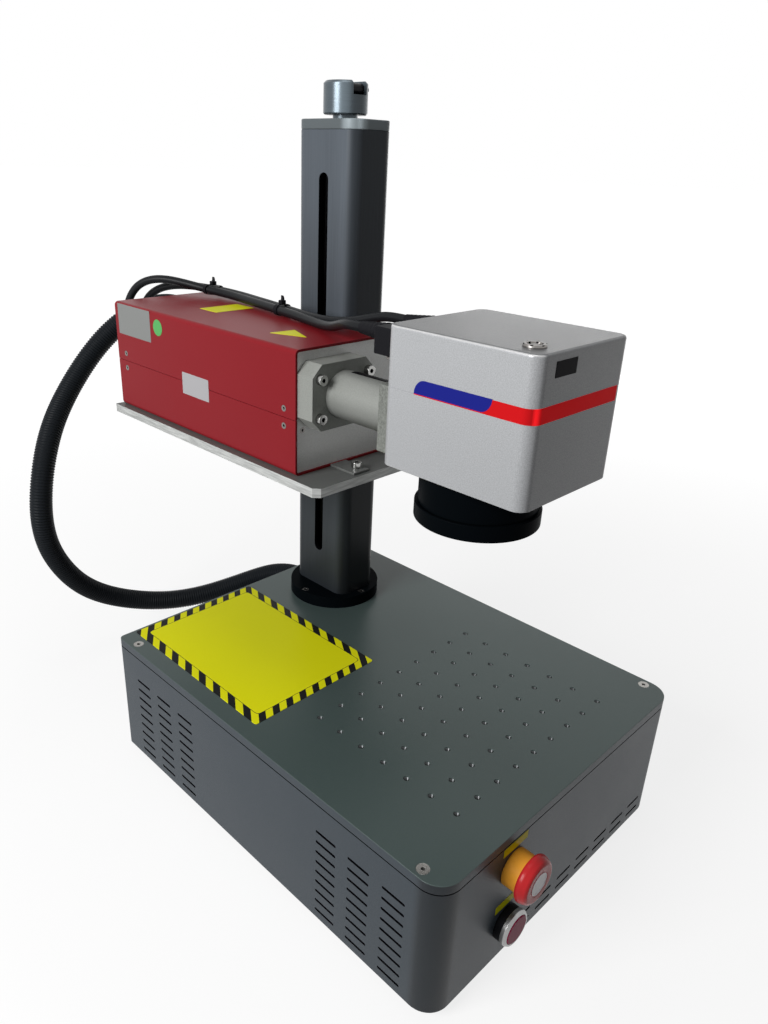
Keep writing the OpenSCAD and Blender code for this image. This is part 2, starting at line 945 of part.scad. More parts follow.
module stop_collar() color("orange") placed() {
    front_face(stop_x, stop_z)
        difference() {
            union() {
                cylinder(r = stop_collar_r, h = stop_collar_h);
                translate([0, 0, -neck_l])
                    cylinder(r = neck_r, h = neck_l + stop_collar_h / 2);
                translate([0, 0, -sheet - nut_t])
                    cylinder(r = nut_r, h = nut_t);
            }
            translate([0, 0, -neck_l - over])
                cylinder(r = stem_r + fit, h = neck_l + stop_collar_h + 2 * over);
        }
}

module stop_stem() color("silver") placed() {
    front_face(stop_x, stop_z)
        translate([0, 0, -stem_in])
            cylinder(r = stem_r, h = stem_in + stop_collar_h - skirt_lap + skirt_h + stem_grip());
}

function stem_grip() = (stop_head_h - skirt_h) / 2;

module stop_head() color("crimson") placed() {
    z0 = stop_collar_h - skirt_lap;
    front_face(stop_x, stop_z)
        difference() {
            rotate_extrude()
                polygon([[0, z0], [stop_head_r - dome_h, z0], [stop_head_r, z0 + dome_h],
                    [stop_head_r, z0 + stop_head_h - dome_in], [stop_head_r - dome_in, z0 + stop_head_h],
                    [0, z0 + stop_head_h]]);
            translate([0, 0, z0 - over])
                cylinder(r = skirt_r, h = skirt_h + over);
            translate([0, 0, z0])
                cylinder(r = stem_r + fit, h = skirt_h + stem_grip() + play);
        }
}

module button_collar() color("black") placed() {
    front_face(button_x, button_z)
        difference() {
            union() {
                cylinder(r = button_collar_r, h = button_collar_h);
                translate([0, 0, -neck_l])
                    cylinder(r = neck_r, h = neck_l + button_collar_h / 2);
                translate([0, 0, -sheet - nut_t])
                    cylinder(r = nut_r, h = nut_t);
            }
            translate([0, 0, -neck_l - over])
                cylinder(r = stem_r + fit, h = neck_l + button_collar_h + 2 * over);
        }
}

module button_bezel() color("silver") placed() {
    front_face(button_x, button_z)
        translate([0, 0, button_collar_h])
            difference() {
                cylinder(r = bezel_r, h = bezel_h);
                translate([0, 0, -over])
                    cylinder(r = lens_r + play, h = bezel_h + 2 * over);
            }
}

module button_plunger() color("darkred") placed() {
    z0 = button_collar_h + bezel_h + lens_out - lens_h;
    front_face(button_x, button_z) {
        translate([0, 0, z0])
            cylinder(r = lens_r, h = lens_h);
        translate([0, 0, -stem_in])
            cylinder(r = stem_r, h = stem_in + z0 + lens_h / 2);
    }
}

module contact_blocks() color("black") placed() {
    for (b = [[stop_x, stop_z], [button_x, button_z]])
        front_face(b[0], b[1])
            difference() {
                translate([-block_half, -block_half, -neck_l - block_l])
                    cube([2 * block_half, 2 * block_half, block_l]);
                translate([0, 0, -neck_l - block_bore])
                    cylinder(r = stem_r + play, h = block_bore + over);
            }
}

module control_labels() color("gold") placed() {
    along_y(-case_d / 2 - label_t, -case_d / 2) {
        translate([stop_x, table_z - label_down - label_h / 2])
            square([label_w, label_h], center = true);
        translate([button_x, button_z + bezel_r + label_up + label_h / 2])
            square([label_w, label_h], center = true);
    }
}

module power_supply() color("lightgray") placed() {
    x0 = supply_left - case_w / 2;
    y0 = supply_front - case_d / 2;
    difference() {
        block(x0, x0 + supply_w, y0, y0 + supply_l, floor_top, floor_top + supply_h);
        block(x0 - over, x0 + supply_w + over, y0 - over, y0 + supply_lip + terminal_w,
            floor_top + sheet, floor_top + supply_h + over);
    }
    block(x0 + sheet, x0 + supply_w - sheet, y0 + terminal_w, y0 + supply_lip + terminal_w,
        floor_top + sheet, floor_top + supply_h / 2);
}

module control_board() color("darkgreen") placed() {
    x0 = case_w / 2 - board_right - board_w;
    y0 = board_front - case_d / 2;
    z0 = floor_top + standoff_h;
    difference() {
        block(x0, x0 + board_w, y0, y0 + board_l, z0, z0 + board_t);
        board_places()
            rod_up(0, 0, z0 - over, z0 + board_t + over, m3_r + fit);
    }
    for (k = [0 : 3])
        translate([x0 + board_w / 4 + (k % 2) * board_w / 3, y0 + (k + 1) * board_l / 6, z0 + board_t])
            cube([board_w / 6, board_l / 9, chip_h * (k + 1) / 4]);
}

module fan_frame() color("black") placed() {
    y1 = case_d / 2 - sheet;
    y0 = y1 - fan_t;
    translate([-fan_left, 0, table_z - fan_down]) {
        difference() {
            along_y(y0, y1)
                difference() {
                    rrect(fan_side, fan_side, fan_corner);
                    circle(r = fan_r);
                }
            for (x = [-1, 1], z = [-1, 1])
                rod_back(x * fan_screw, z * fan_screw, y0 - over, y1 + over, m3_r + fit);
        }
        along_y(y1 - fan_back, y1) {
            circle(r = fan_hub_r);
            intersection() {
                for (a = [45, 135])
                    rotate([0, 0, a])
                        square([2 * fan_r + fan_strut, fan_strut], center = true);
                circle(r = fan_r + over);
            }
        }
        rod_back(0, 0, y0 + fan_back, y1 - fan_back / 2, fan_pin_r);
    }
}

module fan_rotor() color("black") placed() {
    y1 = case_d / 2 - sheet - fan_back - play;
    y0 = case_d / 2 - sheet - fan_t + fan_back;
    tip = fan_r - blade_run;
    translate([-fan_left, 0, table_z - fan_down])
        difference() {
            union() {
                rod_back(0, 0, y0, y1, fan_hub_r);
                intersection() {
                    rod_back(0, 0, y0, y1, tip);
                    for (k = [0 : fan_blades - 1])
                        rotate([0, k * 360 / fan_blades, 0])
                            translate([tip / 2, (y0 + y1) / 2, 0])
                                rotate([blade_lean, 0, 0])
                                    cube([tip, fan_t, blade_t], center = true);
                }
            }
            rod_back(0, 0, y0 - over, y1 + over, fan_pin_r + fit);
        }
}

module mains_inlet() color("black") placed() {
    y1 = case_d / 2;
    translate([inlet_left - case_w / 2, 0, case_z + inlet_up])
        difference() {
            union() {
                along_y(y1, y1 + inlet_face)
                    rrect(inlet_w, inlet_h, inlet_face);
                along_y(y1 + inlet_face - inlet_l, y1 + inlet_face / 2)
                    square([inlet_body_w, inlet_body_h], center = true);
            }
            difference() {
                along_y(y1 + inlet_face - socket_l, y1 + inlet_face + over)
                    translate([0, -socket_down])
                        square([socket_w, socket_h], center = true);
                for (k = [-1 : 1])
                    translate([k * prong_step, 0, abs(k) * prong_h / 2 - socket_down])
                        block(-prong_w / 2, prong_w / 2, y1 + inlet_face - socket_l - over,
                            y1 + inlet_face - socket_l + prong_l, -prong_h / 2, prong_h / 2);
            }
            rod_side(y1 - rocker_sink, rocker_up, -rocker_w / 2 - play, rocker_w / 2 + play,
                rocker_r + play);
            rod_side(y1 - rocker_sink, rocker_up, -rocker_w / 2 - rocker_pin_l - play,
                rocker_w / 2 + rocker_pin_l + play, rocker_pin_r + fit);
        }
}

module rocker() color("firebrick") placed() {
    translate([inlet_left - case_w / 2, case_d / 2 - rocker_sink, case_z + inlet_up + rocker_up]) {
        difference() {
            rod_side(0, 0, -rocker_w / 2, rocker_w / 2, rocker_r);
            for (a = [0, 2 * rocker_lean])
                rotate([a, 0, 0])
                    translate([-rocker_w, rocker_sink + inlet_face + play, -rocker_r])
                        cube([2 * rocker_w, 2 * rocker_r, 2 * rocker_r]);
        }
        rod_side(0, 0, -rocker_w / 2 - rocker_pin_l, rocker_w / 2 + rocker_pin_l, rocker_pin_r);
    }
}

// a gland whose face stands at the given distance from the wall it is screwed through
module gland(inside) {
    rotate([-90, 0, 0])
        difference() {
            union() {
                cylinder(r = gland_r, h = gland_flange_t);
                cylinder(r = gland_r - over, h = gland_out);
                translate([0, 0, -inside])
                    cylinder(r = gland_neck_r, h = inside + gland_flange_t);
            }
            translate([0, 0, -inside - over])
                cylinder(r = gland_bore_r, h = inside + gland_out + 2 * over);
        }
}

module base_gland() color("black") placed() {
    translate([hose_exit()[0], case_d / 2, hose_exit()[2]])
        gland(sheet + nut_t);
}

module hose() color("black") placed() {
    n = hose_sides;
    dense = bent(hose_points, hose_fine);
    outer = spaced(dense, 2 * hose_ribs);
    inner = spaced(dense, hose_bore_rings);
    m = len(outer);
    w = len(inner);
    o = m * n;
    polyhedron(points = concat(rings(outer, [hose_r, hose_root_r], n), rings(inner, [hose_bore_r], n)),
        faces = concat(
            skin(m, n, 0, false),
            skin(w, n, o, true),
            [for (k = [0 : n - 1], h = [0, 1]) h == 0 ? [k, o + k, (k + 1) % n]
                : [(k + 1) % n, o + k, o + (k + 1) % n]],
            [for (k = [0 : n - 1], h = [0, 1])
                let (a = o - n, b = o + (w - 1) * n)
                h == 0 ? [a + k, a + (k + 1) % n, b + k] : [a + (k + 1) % n, b + (k + 1) % n, b + k]]));
}

// Screw and crank

module lead_screw() color("silver") placed() {
    translate([column_x, column_y, 0]) {
        rod_up(0, 0, tube_z - bearing_h, knob_z + knob_bore_h - knob_gap, journal_r);
        rod_up(0, 0, tube_z + play, tube_top - play, screw_r);
    }
}

module hand_knob() color("black") placed() {
    translate([column_x, column_y, 0])
        difference() {
            union() {
                rod_up(0, 0, cap_top + knob_gap, knob_z + knob_chamfer, neck_knob_r);
                rotate_extrude()
                    polygon([[0, knob_z], [knob_r - over, knob_z], [knob_r, knob_z + over],
                        [knob_r, knob_top - knob_chamfer], [knob_r - knob_chamfer, knob_top],
                        [0, knob_top]]);
            }
            rod_up(0, 0, cap_top, knob_z + knob_bore_h - knob_gap, journal_r + fit);
            block(-bar_half - play, bar_half + play, -knob_r - over, bar_end + play,
                pin_z - slot_floor, knob_top + over);
            rod_side(-pin_y, pin_z, -knob_r - over, knob_r + over, pin_r + fit);
        }
}

module handle_pin() color("silver") placed() {
    half = sqrt(knob_r * knob_r - pin_y * pin_y);
    translate([column_x, column_y, 0])
        rod_side(-pin_y, pin_z, -half, half, pin_r);
}

module folding_handle() color("black") placed() {
    translate([column_x, column_y, 0])
        difference() {
            along_x(-bar_half, bar_half) {
                translate([-pin_y, pin_z])
                    circle(r = bar_thin);
                translate([-pin_y, pin_z - bar_thin])
                    square([bar_end - bar_thin + pin_y, 2 * bar_thin]);
                translate([bar_end - bar_thin, pin_z])
                    circle(r = bar_thin);
            }
            rod_side(-pin_y, pin_z, -bar_half - over, bar_half + over, pin_r + fit);
        }
}

// Head: shelf and its carriage

module nut_block() color("dimgray") placed() {
    z0 = shelf_top + nut_up;
    translate([column_x, column_y, 0])
        difference() {
            union() {
                block(-nut_half_x, nut_half_x, -nut_half_y, nut_half_y, z0, z0 + nut_h);
                block(-bracket_off, bracket_off, -arm_w / 2, arm_w / 2, z0, z0 + nut_h);
            }
            rod_up(0, 0, z0 - over, z0 + nut_h + over, screw_r + fit);
            rod_places()
                rod_up(0, 0, z0 - over, z0 + nut_h + over, rod_r + fit);
            arm_screw_places()
                sunk_hole(m5_r, m5_sunk_r, m5_sunk_h, arm_screw_l());
        }
}

function arm_screw_l() = bracket_t + bracket_off - nut_half_x + bolt_hold / 3;

// the screws that hold both brackets to the arms, heads on the outside of the brackets
module arm_screw_places() {
    for (x = [-1, 1], z = [1, 4])
        translate([x * (bracket_off + bracket_t), 0, shelf_top + nut_up + z * nut_h / 5])
            rotate([0, x * 90, 0])
                children();
}

// the screws that hold the brackets on the shelf, heads under the shelf
module shelf_screw_places() {
    y0 = column_y - bracket_front;
    for (p = [[-1, y0 + bracket_t * 2], [-1, column_y], [1, y0 + bracket_t], [1, y0 + bracket_t * 4]])
        translate([column_x + p[0] * (bracket_off + bracket_t / 2), p[1], shelf_z])
            mirror([0, 0, 1])
                children();
}

module side_brackets() color("dimgray") placed() {
    difference() {
        for (x = [-1, 1])
            translate([column_x + x * (bracket_off + bracket_t / 2), 0, 0])
                block(-bracket_t / 2, bracket_t / 2, column_y - bracket_front,
                    column_y + bracket_back, shelf_top, shelf_top + bracket_h);
        translate([column_x, column_y, 0])
            arm_screw_places()
                sunk_hole(m5_r, m5_sunk_r, m5_sunk_h, arm_screw_l());
        shelf_screw_places()
            sunk_hole(m5_r, m5_sunk_r, m5_sunk_h, shelf_t + table_screw_l / 2);
    }
}

module shelf_plate() color("silver") placed() {
    x0 = laser_x - shelf_side;
    x1 = column_x - bracket_off;
    x2 = column_x + bracket_off + bracket_t;
    y2 = column_y - tube_d / 2 - cross_gap;
    difference() {
        slab(shelf_z, shelf_top)
            polygon([[x0 + shelf_cut, shelf_y], [x2 - shelf_cut, shelf_y], [x2, shelf_y + shelf_cut],
                [x2, y2], [x1, y2], [x1, shelf_end], [laser_x - shelf_tail, shelf_end],
                [laser_x - shelf_tail, laser_end + shelf_back], [x0, laser_end + shelf_back],
                [x0, shelf_y + shelf_cut]]);
        shelf_screw_places()
            sunk_hole(m5_r, m5_sunk_r, m5_sunk_h, shelf_t + table_screw_l / 2);
        foot_screw_places()
            rod_up(0, 0, shelf_z - over, shelf_top + over, m5_r + fit);
    }
}

module shelf_screws() color("black") placed() {
    shelf_screw_places()
        sunk_screw(m5_r, m5_sunk_r, m5_sunk_h, m5_key_r, m5_key_h, shelf_t + table_screw_l / 2);
    translate([column_x, column_y, 0])
        arm_screw_places()
            sunk_screw(m5_r, m5_sunk_r, m5_sunk_h, m5_key_r, m5_key_h, arm_screw_l());
}

// Head: laser source

module laser_section() {
    translate([laser_x, shelf_top + laser_h / 2])
        difference() {
            rrect(laser_w, laser_h, shell_r);
            rrect(laser_w - 2 * shell_t, laser_h - 2 * shell_t, shell_r - shell_t);
        }
}

module laser_shell_upper() color("brown") placed() {
    difference() {
        along_y(laser_y, laser_end)
            intersection() {
                laser_section();
                translate([laser_x - laser_w, seam_z + seam_gap / 2])
                    square([2 * laser_w, laser_h]);
            }
        side_screw_places(1)
            sunk_hole(m3_r, m3_sunk_r, m3_sunk_h, shell_t + over);
    }
}

module laser_shell_lower() color("brown") placed() {
    difference() {
        along_y(laser_y, laser_end)
            intersection() {
                laser_section();
                translate([laser_x - laser_w, seam_z - seam_gap / 2 - laser_h])
                    square([2 * laser_w, laser_h]);
            }
        side_screw_places(-1)
            sunk_hole(m3_r, m3_sunk_r, m3_sunk_h, shell_t + over);
    }
}

module side_screw_places(s) {
    for (x = [-1, 1], y = [laser_y + side_screw_in, laser_end - side_screw_in])
        translate([laser_x + x * laser_w / 2, y, seam_z + s * side_screw_z])
            rotate([0, x * 90, 0])
                children();
}

// screws of the front plate, or of the rear plate with the outline turned round
module plate_screw_places(rear) {
    for (p = [[1, plate_screw_low], [-1, plate_screw_low], [rear ? -1 : 1, plate_screw_high]])
        translate([laser_x + p[0] * plate_screw_x,
            rear ? laser_end - plate_in : laser_y + plate_in, shelf_top + p[1]])
            rotate([rear ? -90 : 90, 0, 0])
                children();
}

module laser_front_plate() color("black") placed() {
    difference() {
        along_y(laser_y + plate_in, laser_y + plate_in + plate_t)
            translate([laser_x, shelf_top + laser_h / 2])
                rrect(laser_w - 2 * (shell_t + fit), laser_h - 2 * (shell_t + fit), shell_r - shell_t);
        rod_back(beam_x, beam_z, laser_y, laser_y + plate_in + plate_t + over, beam_r);
        plate_screw_places(false)
            sunk_hole(m3_r, m3_sunk_r, m3_sunk_h, plate_t + over);
        bolt_places()
            rod_up(0, 0, -bolt_l(), over, m5_r + fit);
    }
}

module laser_rear_plate() color("black") placed() {
    y1 = laser_end - plate_in;
    difference() {
        union() {
            along_y(y1 - plate_t, y1)
                translate([laser_x, shelf_top + laser_h / 2])
                    rrect(laser_w - 2 * (shell_t + fit), laser_h - 2 * (shell_t + fit),
                        shell_r - shell_t);
            for (x = [bush_a, bush_b])
                rod_back(x, bush_z, y1, cable_a_points[1][1], bush_r);
        }
        rod_back(hose_points[1][0], hose_points[1][2], y1 - plate_t - over, y1 + over,
            gland_neck_r + fit);
        plate_screw_places(true)
            sunk_hole(m3_r, m3_sunk_r, m3_sunk_h, plate_t + over);
    }
}

module laser_screws() color("silver") placed() {
    for (s = [-1, 1])
        side_screw_places(s)
            sunk_screw(m3_r, m3_sunk_r, m3_sunk_h, m3_key_r, m3_key_h, shell_t + bolt_hold);
    for (rear = [false, true])
        plate_screw_places(rear)
            sunk_screw(m3_r, m3_sunk_r, m3_sunk_h, m3_key_r, m3_key_h, plate_t + bolt_hold);
}

module laser_core() color("lightgray") placed() {
    w = laser_w / 2 - shell_t;
    y0 = laser_y + plate_in + plate_t;
    y1 = laser_end - plate_in - plate_t;
    z0 = shelf_top + shell_t;
    z1 = laser_top - shell_t;
    difference() {
        along_y(y0, y1)
            translate([laser_x, shelf_top + laser_h / 2])
                rrect(2 * w, z1 - z0, shell_r - shell_t);
        block(laser_x - w + core_wall, laser_x + w - core_wall, y0 + core_wall, y1 - core_wall,
            z0 + core_wall, z1 + over);
        rod_back(beam_x, beam_z, y0 - over, y0 + core_wall + over, beam_r);
        block(laser_x - w + 2 * core_wall, laser_x + w - 2 * core_wall, y1 - core_wall - over, y1 + over,
            z0 + 6 * core_wall, z1 + over);
        for (s = [-1, 1])
            side_screw_places(s)
                sunk_hole(m3_r, m3_sunk_r, m3_sunk_h, shell_t + bolt_hold);
        for (rear = [false, true])
            plate_screw_places(rear)
                sunk_hole(m3_r, m3_sunk_r, m3_sunk_h, plate_t + bolt_hold);
        bolt_places()
            rod_up(0, 0, -bolt_l() - fit, over, m5_r + fit);
    }
}

module laser_feet() color("dimgray") placed() {
    x0 = laser_x - foot_tab_w + foot_tab_left;
    difference() {
        union() {
            block(x0, x0 + foot_tab_w, laser_y - foot_tab_l, laser_y, shelf_top, shelf_top + foot_tab_t);
            block(x0, x0 + foot_tab_w, laser_end, laser_end + foot_tab_rear_l, shelf_top,
                shelf_top + foot_tab_t);
        }
        foot_screw_places()
            rod_up(0, 0, shelf_z - over, shelf_top + foot_tab_t + over, m5_r + fit);
    }
}

module foot_screw_places() {
    x0 = laser_x - foot_tab_w + foot_tab_left;
    for (y = [laser_y - foot_screw_out, laser_end + foot_screw_rear])
        translate([x0 + foot_tab_w / 2 + foot_screw_right, y, 0])
            children();
}

module laser_gland() color("black") placed() {
    translate([hose_points[1][0], laser_end - plate_in, hose_points[1][2]])
        gland(plate_t);
}

// Head: beam expander

function bolt_l() = oct_t + plate_t + bolt_hold;

module bolt_places() {
    for (x = [-1, 1], z = [-1, 1])
        translate([beam_x + x * bolt_x, laser_y + plate_in - oct_t, beam_z + z * bolt_z])
            rotate([90, 0, 0])
                children();
}

module expander_flange() color("black") placed() {
    w = oct_w / 2;
    h = oct_h / 2;
    difference() {
        along_y(laser_y + plate_in - oct_t, laser_y + plate_in)
            translate([beam_x, beam_z])
                polygon([[-w + oct_cut, -h], [w - oct_cut, -h], [w, -h + oct_cut], [w, h - oct_cut],
                    [w - oct_cut, h], [-w + oct_cut, h], [-w, h - oct_cut], [-w, -h + oct_cut]]);
        rod_back(beam_x, beam_z, laser_y + plate_in - oct_t - over, laser_y + plate_in + over, beam_r);
        bolt_places()
            rod_up(0, 0, -bolt_l(), over, m5_r + fit);
    }
}

module cap_screws() color("black") placed() {
    bolt_places()
        head_screw(m5_r, m5_head_r, m5_head_h, m5_key_r, m5_key_h, bolt_l());
    foot_screw_places()
        translate([0, 0, shelf_top + foot_tab_t])
            head_screw(m5_r, m5_head_r, m5_head_h, m5_key_r, m5_key_h, foot_tab_t + shelf_t);
}

module expander_tube() color("black") placed() {
    y1 = laser_y + plate_in - oct_t;
    difference() {
        rod_back(beam_x, beam_z, y1 - expander_l, y1, expander_r);
        rod_back(beam_x, beam_z, y1 - expander_l - over, y1 + over, beam_r);
    }
}

module adapter_plate() color("gray") placed() {
    along_y(scan_end, scan_end + adapter_t)
        translate([beam_x, beam_z])
            difference() {
                rrect(adapter_w, adapter_w, foot_chamfer);
                circle(r = beam_r);
            }
}

// Head: scan head

module scan_plan(r_in) {
    translate([lens_x, (scan_y + scan_end) / 2])
        rrect(scan_w - 2 * r_in, scan_l - 2 * r_in, scan_r - r_in);
}

module scanner_body() color("silver") placed() {
    floor_in = scan_z + scan_t;
    x0 = lens_x - scan_w / 2;
    bridge_z = beam_z + bridge_up;
    difference() {
        union() {
            difference() {
                slab(scan_z, part_z)
                    scan_plan(0);
                slab(floor_in, part_z + over)
                    scan_plan(scan_t);
            }
            block(x0 + scan_t / 2, beam_x + bridge_half, lens_y - bridge_half, lens_y + bridge_half,
                bridge_z, bridge_z + bridge_t);
            block(lens_x - 1.2 * bridge_half, lens_x + 1.2 * bridge_half, lens_y - wall_front - bridge_t,
                lens_y - wall_front, scan_z + scan_t / 2, beam_z + bridge_half);
        }
        rod_up(lens_x, lens_y, scan_z - over, floor_in + over, aperture_r);
        rod_back(beam_x, beam_z, scan_end - scan_t - over, scan_end + over, beam_r);
        rod_up(beam_x, lens_y, bridge_z - over, bridge_z + bridge_t + over, motor_r + fit);
        rod_back(lens_x, beam_z, lens_y - wall_front - bridge_t - over, lens_y - wall_front + over,
            motor_r + fit);
    }
}

module scanner_cover() color("gainsboro") placed() {
    difference() {
        slab(part_z, scan_top)
            scan_plan(0);
        slab(part_z - over, scan_top - scan_t)
            scan_plan(scan_t);
    }
}

module top_plug() color("gray") placed() {
    rod_up(lens_x - scan_w / 2 + plug_side, scan_y + plug_front, scan_top, scan_top + plug_h, plug_r);
}

module lens_barrel() color("black") placed() {
    translate([lens_x, lens_y, 0])
        slab(scan_z - barrel_h, scan_z)
            difference() {
                circle(r = barrel_r);
                circle(r = barrel_bore_r);
            }
}

module lens_ring() color("black") placed() {
    z0 = scan_z - barrel_h - ring_h;
    translate([lens_x, lens_y, 0])
        difference() {
            rod_up(0, 0, z0, z0 + ring_h, ring_r);
            rod_up(0, 0, z0 - over, z0 + ring_h + over, min(barrel_bore_r, glass_r - glass_in));
            rod_up(0, 0, z0 - over, z0 + glass_in + glass_t, glass_r + fit);
        }
}

module optics_glass() color("lightblue") placed() {
    z0 = scan_z - barrel_h - ring_h + glass_in;
    rod_up(lens_x, lens_y, z0, z0 + glass_t, glass_r);
}

module scan_motors() color("dimgray") placed() {
    bridge_z = beam_z + bridge_up;
    wall_y = lens_y - wall_front;
    difference() {
        union() {
            rod_up(beam_x, lens_y, bridge_z, bridge_z + motor_l, motor_r);
            rod_up(beam_x, lens_y, bridge_z + bridge_t, bridge_z + bridge_t + shoulder_h, shoulder_r);
        }
        rod_up(beam_x, lens_y, bridge_z - over, bridge_z + motor_l / 2, shaft_r + fit);
    }
    difference() {
        union() {
            rod_back(lens_x, beam_z, wall_y - motor_l, wall_y, motor_r);
            rod_back(lens_x, beam_z, wall_y - bridge_t - shoulder_h, wall_y - bridge_t, shoulder_r);
        }
        rod_back(lens_x, beam_z, wall_y - motor_l / 2, wall_y + over, shaft_r + fit);
    }
}

module x_mirror() color("lightblue") placed() {
    translate([beam_x, lens_y, 0]) {
        translate([0, 0, beam_z])
            rotate([0, 0, -45])
                cube([2 * mirror_half, mirror_t, 2 * mirror_long], center = true);
        rod_up(0, 0, beam_z + mirror_long - mirror_half, beam_z + bridge_up + motor_l / 2 - play,
            shaft_r);
    }
}

module y_mirror() color("lightblue") placed() {
    wall_y = lens_y - wall_front;
    translate([lens_x, lens_y, beam_z])
        rotate([0, 45, 0])
            cube([2 * mirror_half, 2 * mirror_long, mirror_t], center = true);
    rod_back(lens_x, beam_z, wall_y - motor_l / 2 + play, lens_y - mirror_half, shaft_r);
}

module scanner_plugs() color("black") placed() {
    z0 = scan_z + hood_up;
    for (x = [-hood_left, hood_right]) {
        block(lens_x + x - hood_w / 2, lens_x + x + hood_w / 2, scan_end, scan_end + hood_l, z0,
            z0 + hood_h);
        rod_back(lens_x + x, z0 + hood_relief_up, scan_end + hood_l / 2,
            scan_end + hood_l + hood_relief_l, hood_relief_r);
    }
}

module scanner_cables() color("black") placed() {
    cable(cable_a_points);
    cable(cable_b_points);
}

case_shell();
floor_plate();
base_screws();
rubber_feet();
table_plate();
table_screws();
safety_panel();
column_flange();
column_screws();
column_tube();
column_cap();
guide_rods();
screw_bearings();
stop_collar();
button_collar();
button_bezel();
contact_blocks();
control_labels();
power_supply();
control_board();
fan_frame();
mains_inlet();
base_gland();
hose();
lead_screw();
hand_knob();
handle_pin();
folding_handle();
nut_block();
side_brackets();
shelf_plate();
shelf_screws();
laser_shell_upper();
laser_shell_lower();
laser_front_plate();
laser_rear_plate();
laser_screws();
laser_core();
laser_feet();
laser_gland();
expander_flange();
cap_screws();
expander_tube();
adapter_plate();
scanner_body();
scanner_cover();
top_plug();
lens_barrel();
lens_ring();
optics_glass();
scan_motors();
scanner_plugs();
scanner_cables();
x_mirror();
y_mirror();
stop_stem();
stop_head();
button_plunger();
fan_rotor();
rocker();
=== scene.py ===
"""Visual model of a bench-top laser marking machine, built over its CAD frame.

Places are given in millimetres from the middle of the base case, on the ground. Each operator
makes one group of pieces, and each piece is a surface worked out as whole arrays, or a CAD piece
whose edges are eased.
"""

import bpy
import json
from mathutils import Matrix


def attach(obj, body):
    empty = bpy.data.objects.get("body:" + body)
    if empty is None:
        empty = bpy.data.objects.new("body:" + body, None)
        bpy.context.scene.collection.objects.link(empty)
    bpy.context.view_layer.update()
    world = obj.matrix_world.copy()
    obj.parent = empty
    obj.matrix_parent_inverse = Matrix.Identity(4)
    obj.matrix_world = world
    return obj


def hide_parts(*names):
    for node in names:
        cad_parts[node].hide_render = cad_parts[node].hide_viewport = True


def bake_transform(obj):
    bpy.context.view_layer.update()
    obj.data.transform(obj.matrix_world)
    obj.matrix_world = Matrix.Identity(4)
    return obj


bl_info = {
    "name": "Laser marking machine",
    "version": (1, 0, 0),
    "blender": (4, 5, 0),
    "location": "View3D > Sidebar > Marking machine",
    "description": "Makes the pieces and finishes of a bench-top laser marking machine",
    "category": "Object",
}

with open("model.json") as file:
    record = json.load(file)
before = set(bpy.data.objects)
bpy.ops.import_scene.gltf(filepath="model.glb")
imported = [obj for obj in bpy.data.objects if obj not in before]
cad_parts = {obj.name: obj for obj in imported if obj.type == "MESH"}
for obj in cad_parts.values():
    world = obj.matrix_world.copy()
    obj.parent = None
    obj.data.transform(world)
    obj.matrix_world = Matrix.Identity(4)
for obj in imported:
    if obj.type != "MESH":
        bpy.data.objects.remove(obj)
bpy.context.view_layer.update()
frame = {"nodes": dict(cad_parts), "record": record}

import json
import math

import bmesh
import bpy
import numpy as np
from bpy.props import FloatProperty, FloatVectorProperty, IntProperty, PointerProperty
from mathutils import Matrix, Vector

MM = 0.001
BASE_SHIFT = np.array([0.0, -47.25, 0.0])
BODY_OF = {
    node: body
    for body, nodes in frame["record"]["behaviour"]["bodies"].items()
    for node in nodes
}

# Places of the CAD pieces, in millimetres

CASE = {"centre": (0, 0), "half": (164, 208), "corners": (20, 5)}
VENTS_LOW, VENTS_HIGH = 14, 124
TABLE_TOP = 137.0
HOLES_X = np.arange(-100, 101, 25)
HOLES_Y = np.arange(-168, -17, 25)
STOP = (-79, -208, 102)
START = (-79.5, -208, 45)
COLUMN = (66.5, 142.5, 0)
TUBE = {"centre": COLUMN[:2], "half": (25, 37.5), "corners": (12, 12)}
# The pin of the crank is given from the column's middle
KNOB_RADIUS, PIN_Y, PIN_Z = 19.5, -10.5, 631.0
LASER_LEFT, LASER_MIDDLE, LASER_TOP = -84, -27, 442
BEAM_X, BEAM_Z = -49, 406
SCAN = np.array([-27, -116.5])
SCAN_W, SCAN_D, SCAN_CORNER = 106, 123, 9
SCAN_LEFT, SCAN_FRONT, SCAN_RIM, SCAN_TOP = -80, -178, 433.1, 475.5
TAPE_LOW, TAPE_HIGH = 432.7, 443.0
PLUG = (-60, -160, 0)
CABLES_X, CABLES_Z = (-45, 5), 460
# The blank panel, and the pitch and start of its slanted bars
PANEL = (-76, 108, 0)
PANEL_W, PANEL_D = 142, 194
BAR_PITCH_X, BAR_PITCH_Y, BAR_START = 15.35, 22.35, 20.535

CAMERA_TURN = (
    (0.716155, -0.697301, 0.029875),
    (-0.264868, -0.311135, -0.912710),
    (0.645729, 0.645729, -0.407514),
)
CAMERA_PLACE = (-0.47674, -0.47292, 0.57506)
CAMERA_LENS = 28.041
CAMERA_SHIFT = (0.031115, 0.003705)

# Shapes worked out as arrays


def grid_faces(rows, columns, wrap_rows):
    """Four-sided faces between neighbours of a grid, whose columns close on themselves, and whose
    rows do too where they wrap."""
    i = np.arange(rows if wrap_rows else rows - 1)[:, None]
    j = np.arange(columns)[None]
    below, beside = (i + 1) % rows, (j + 1) % columns
    corners = [i * columns + j, i * columns + beside, below * columns + beside, below * columns + j]
    return np.stack(np.broadcast_arrays(*corners), -1).reshape(-1, 4)


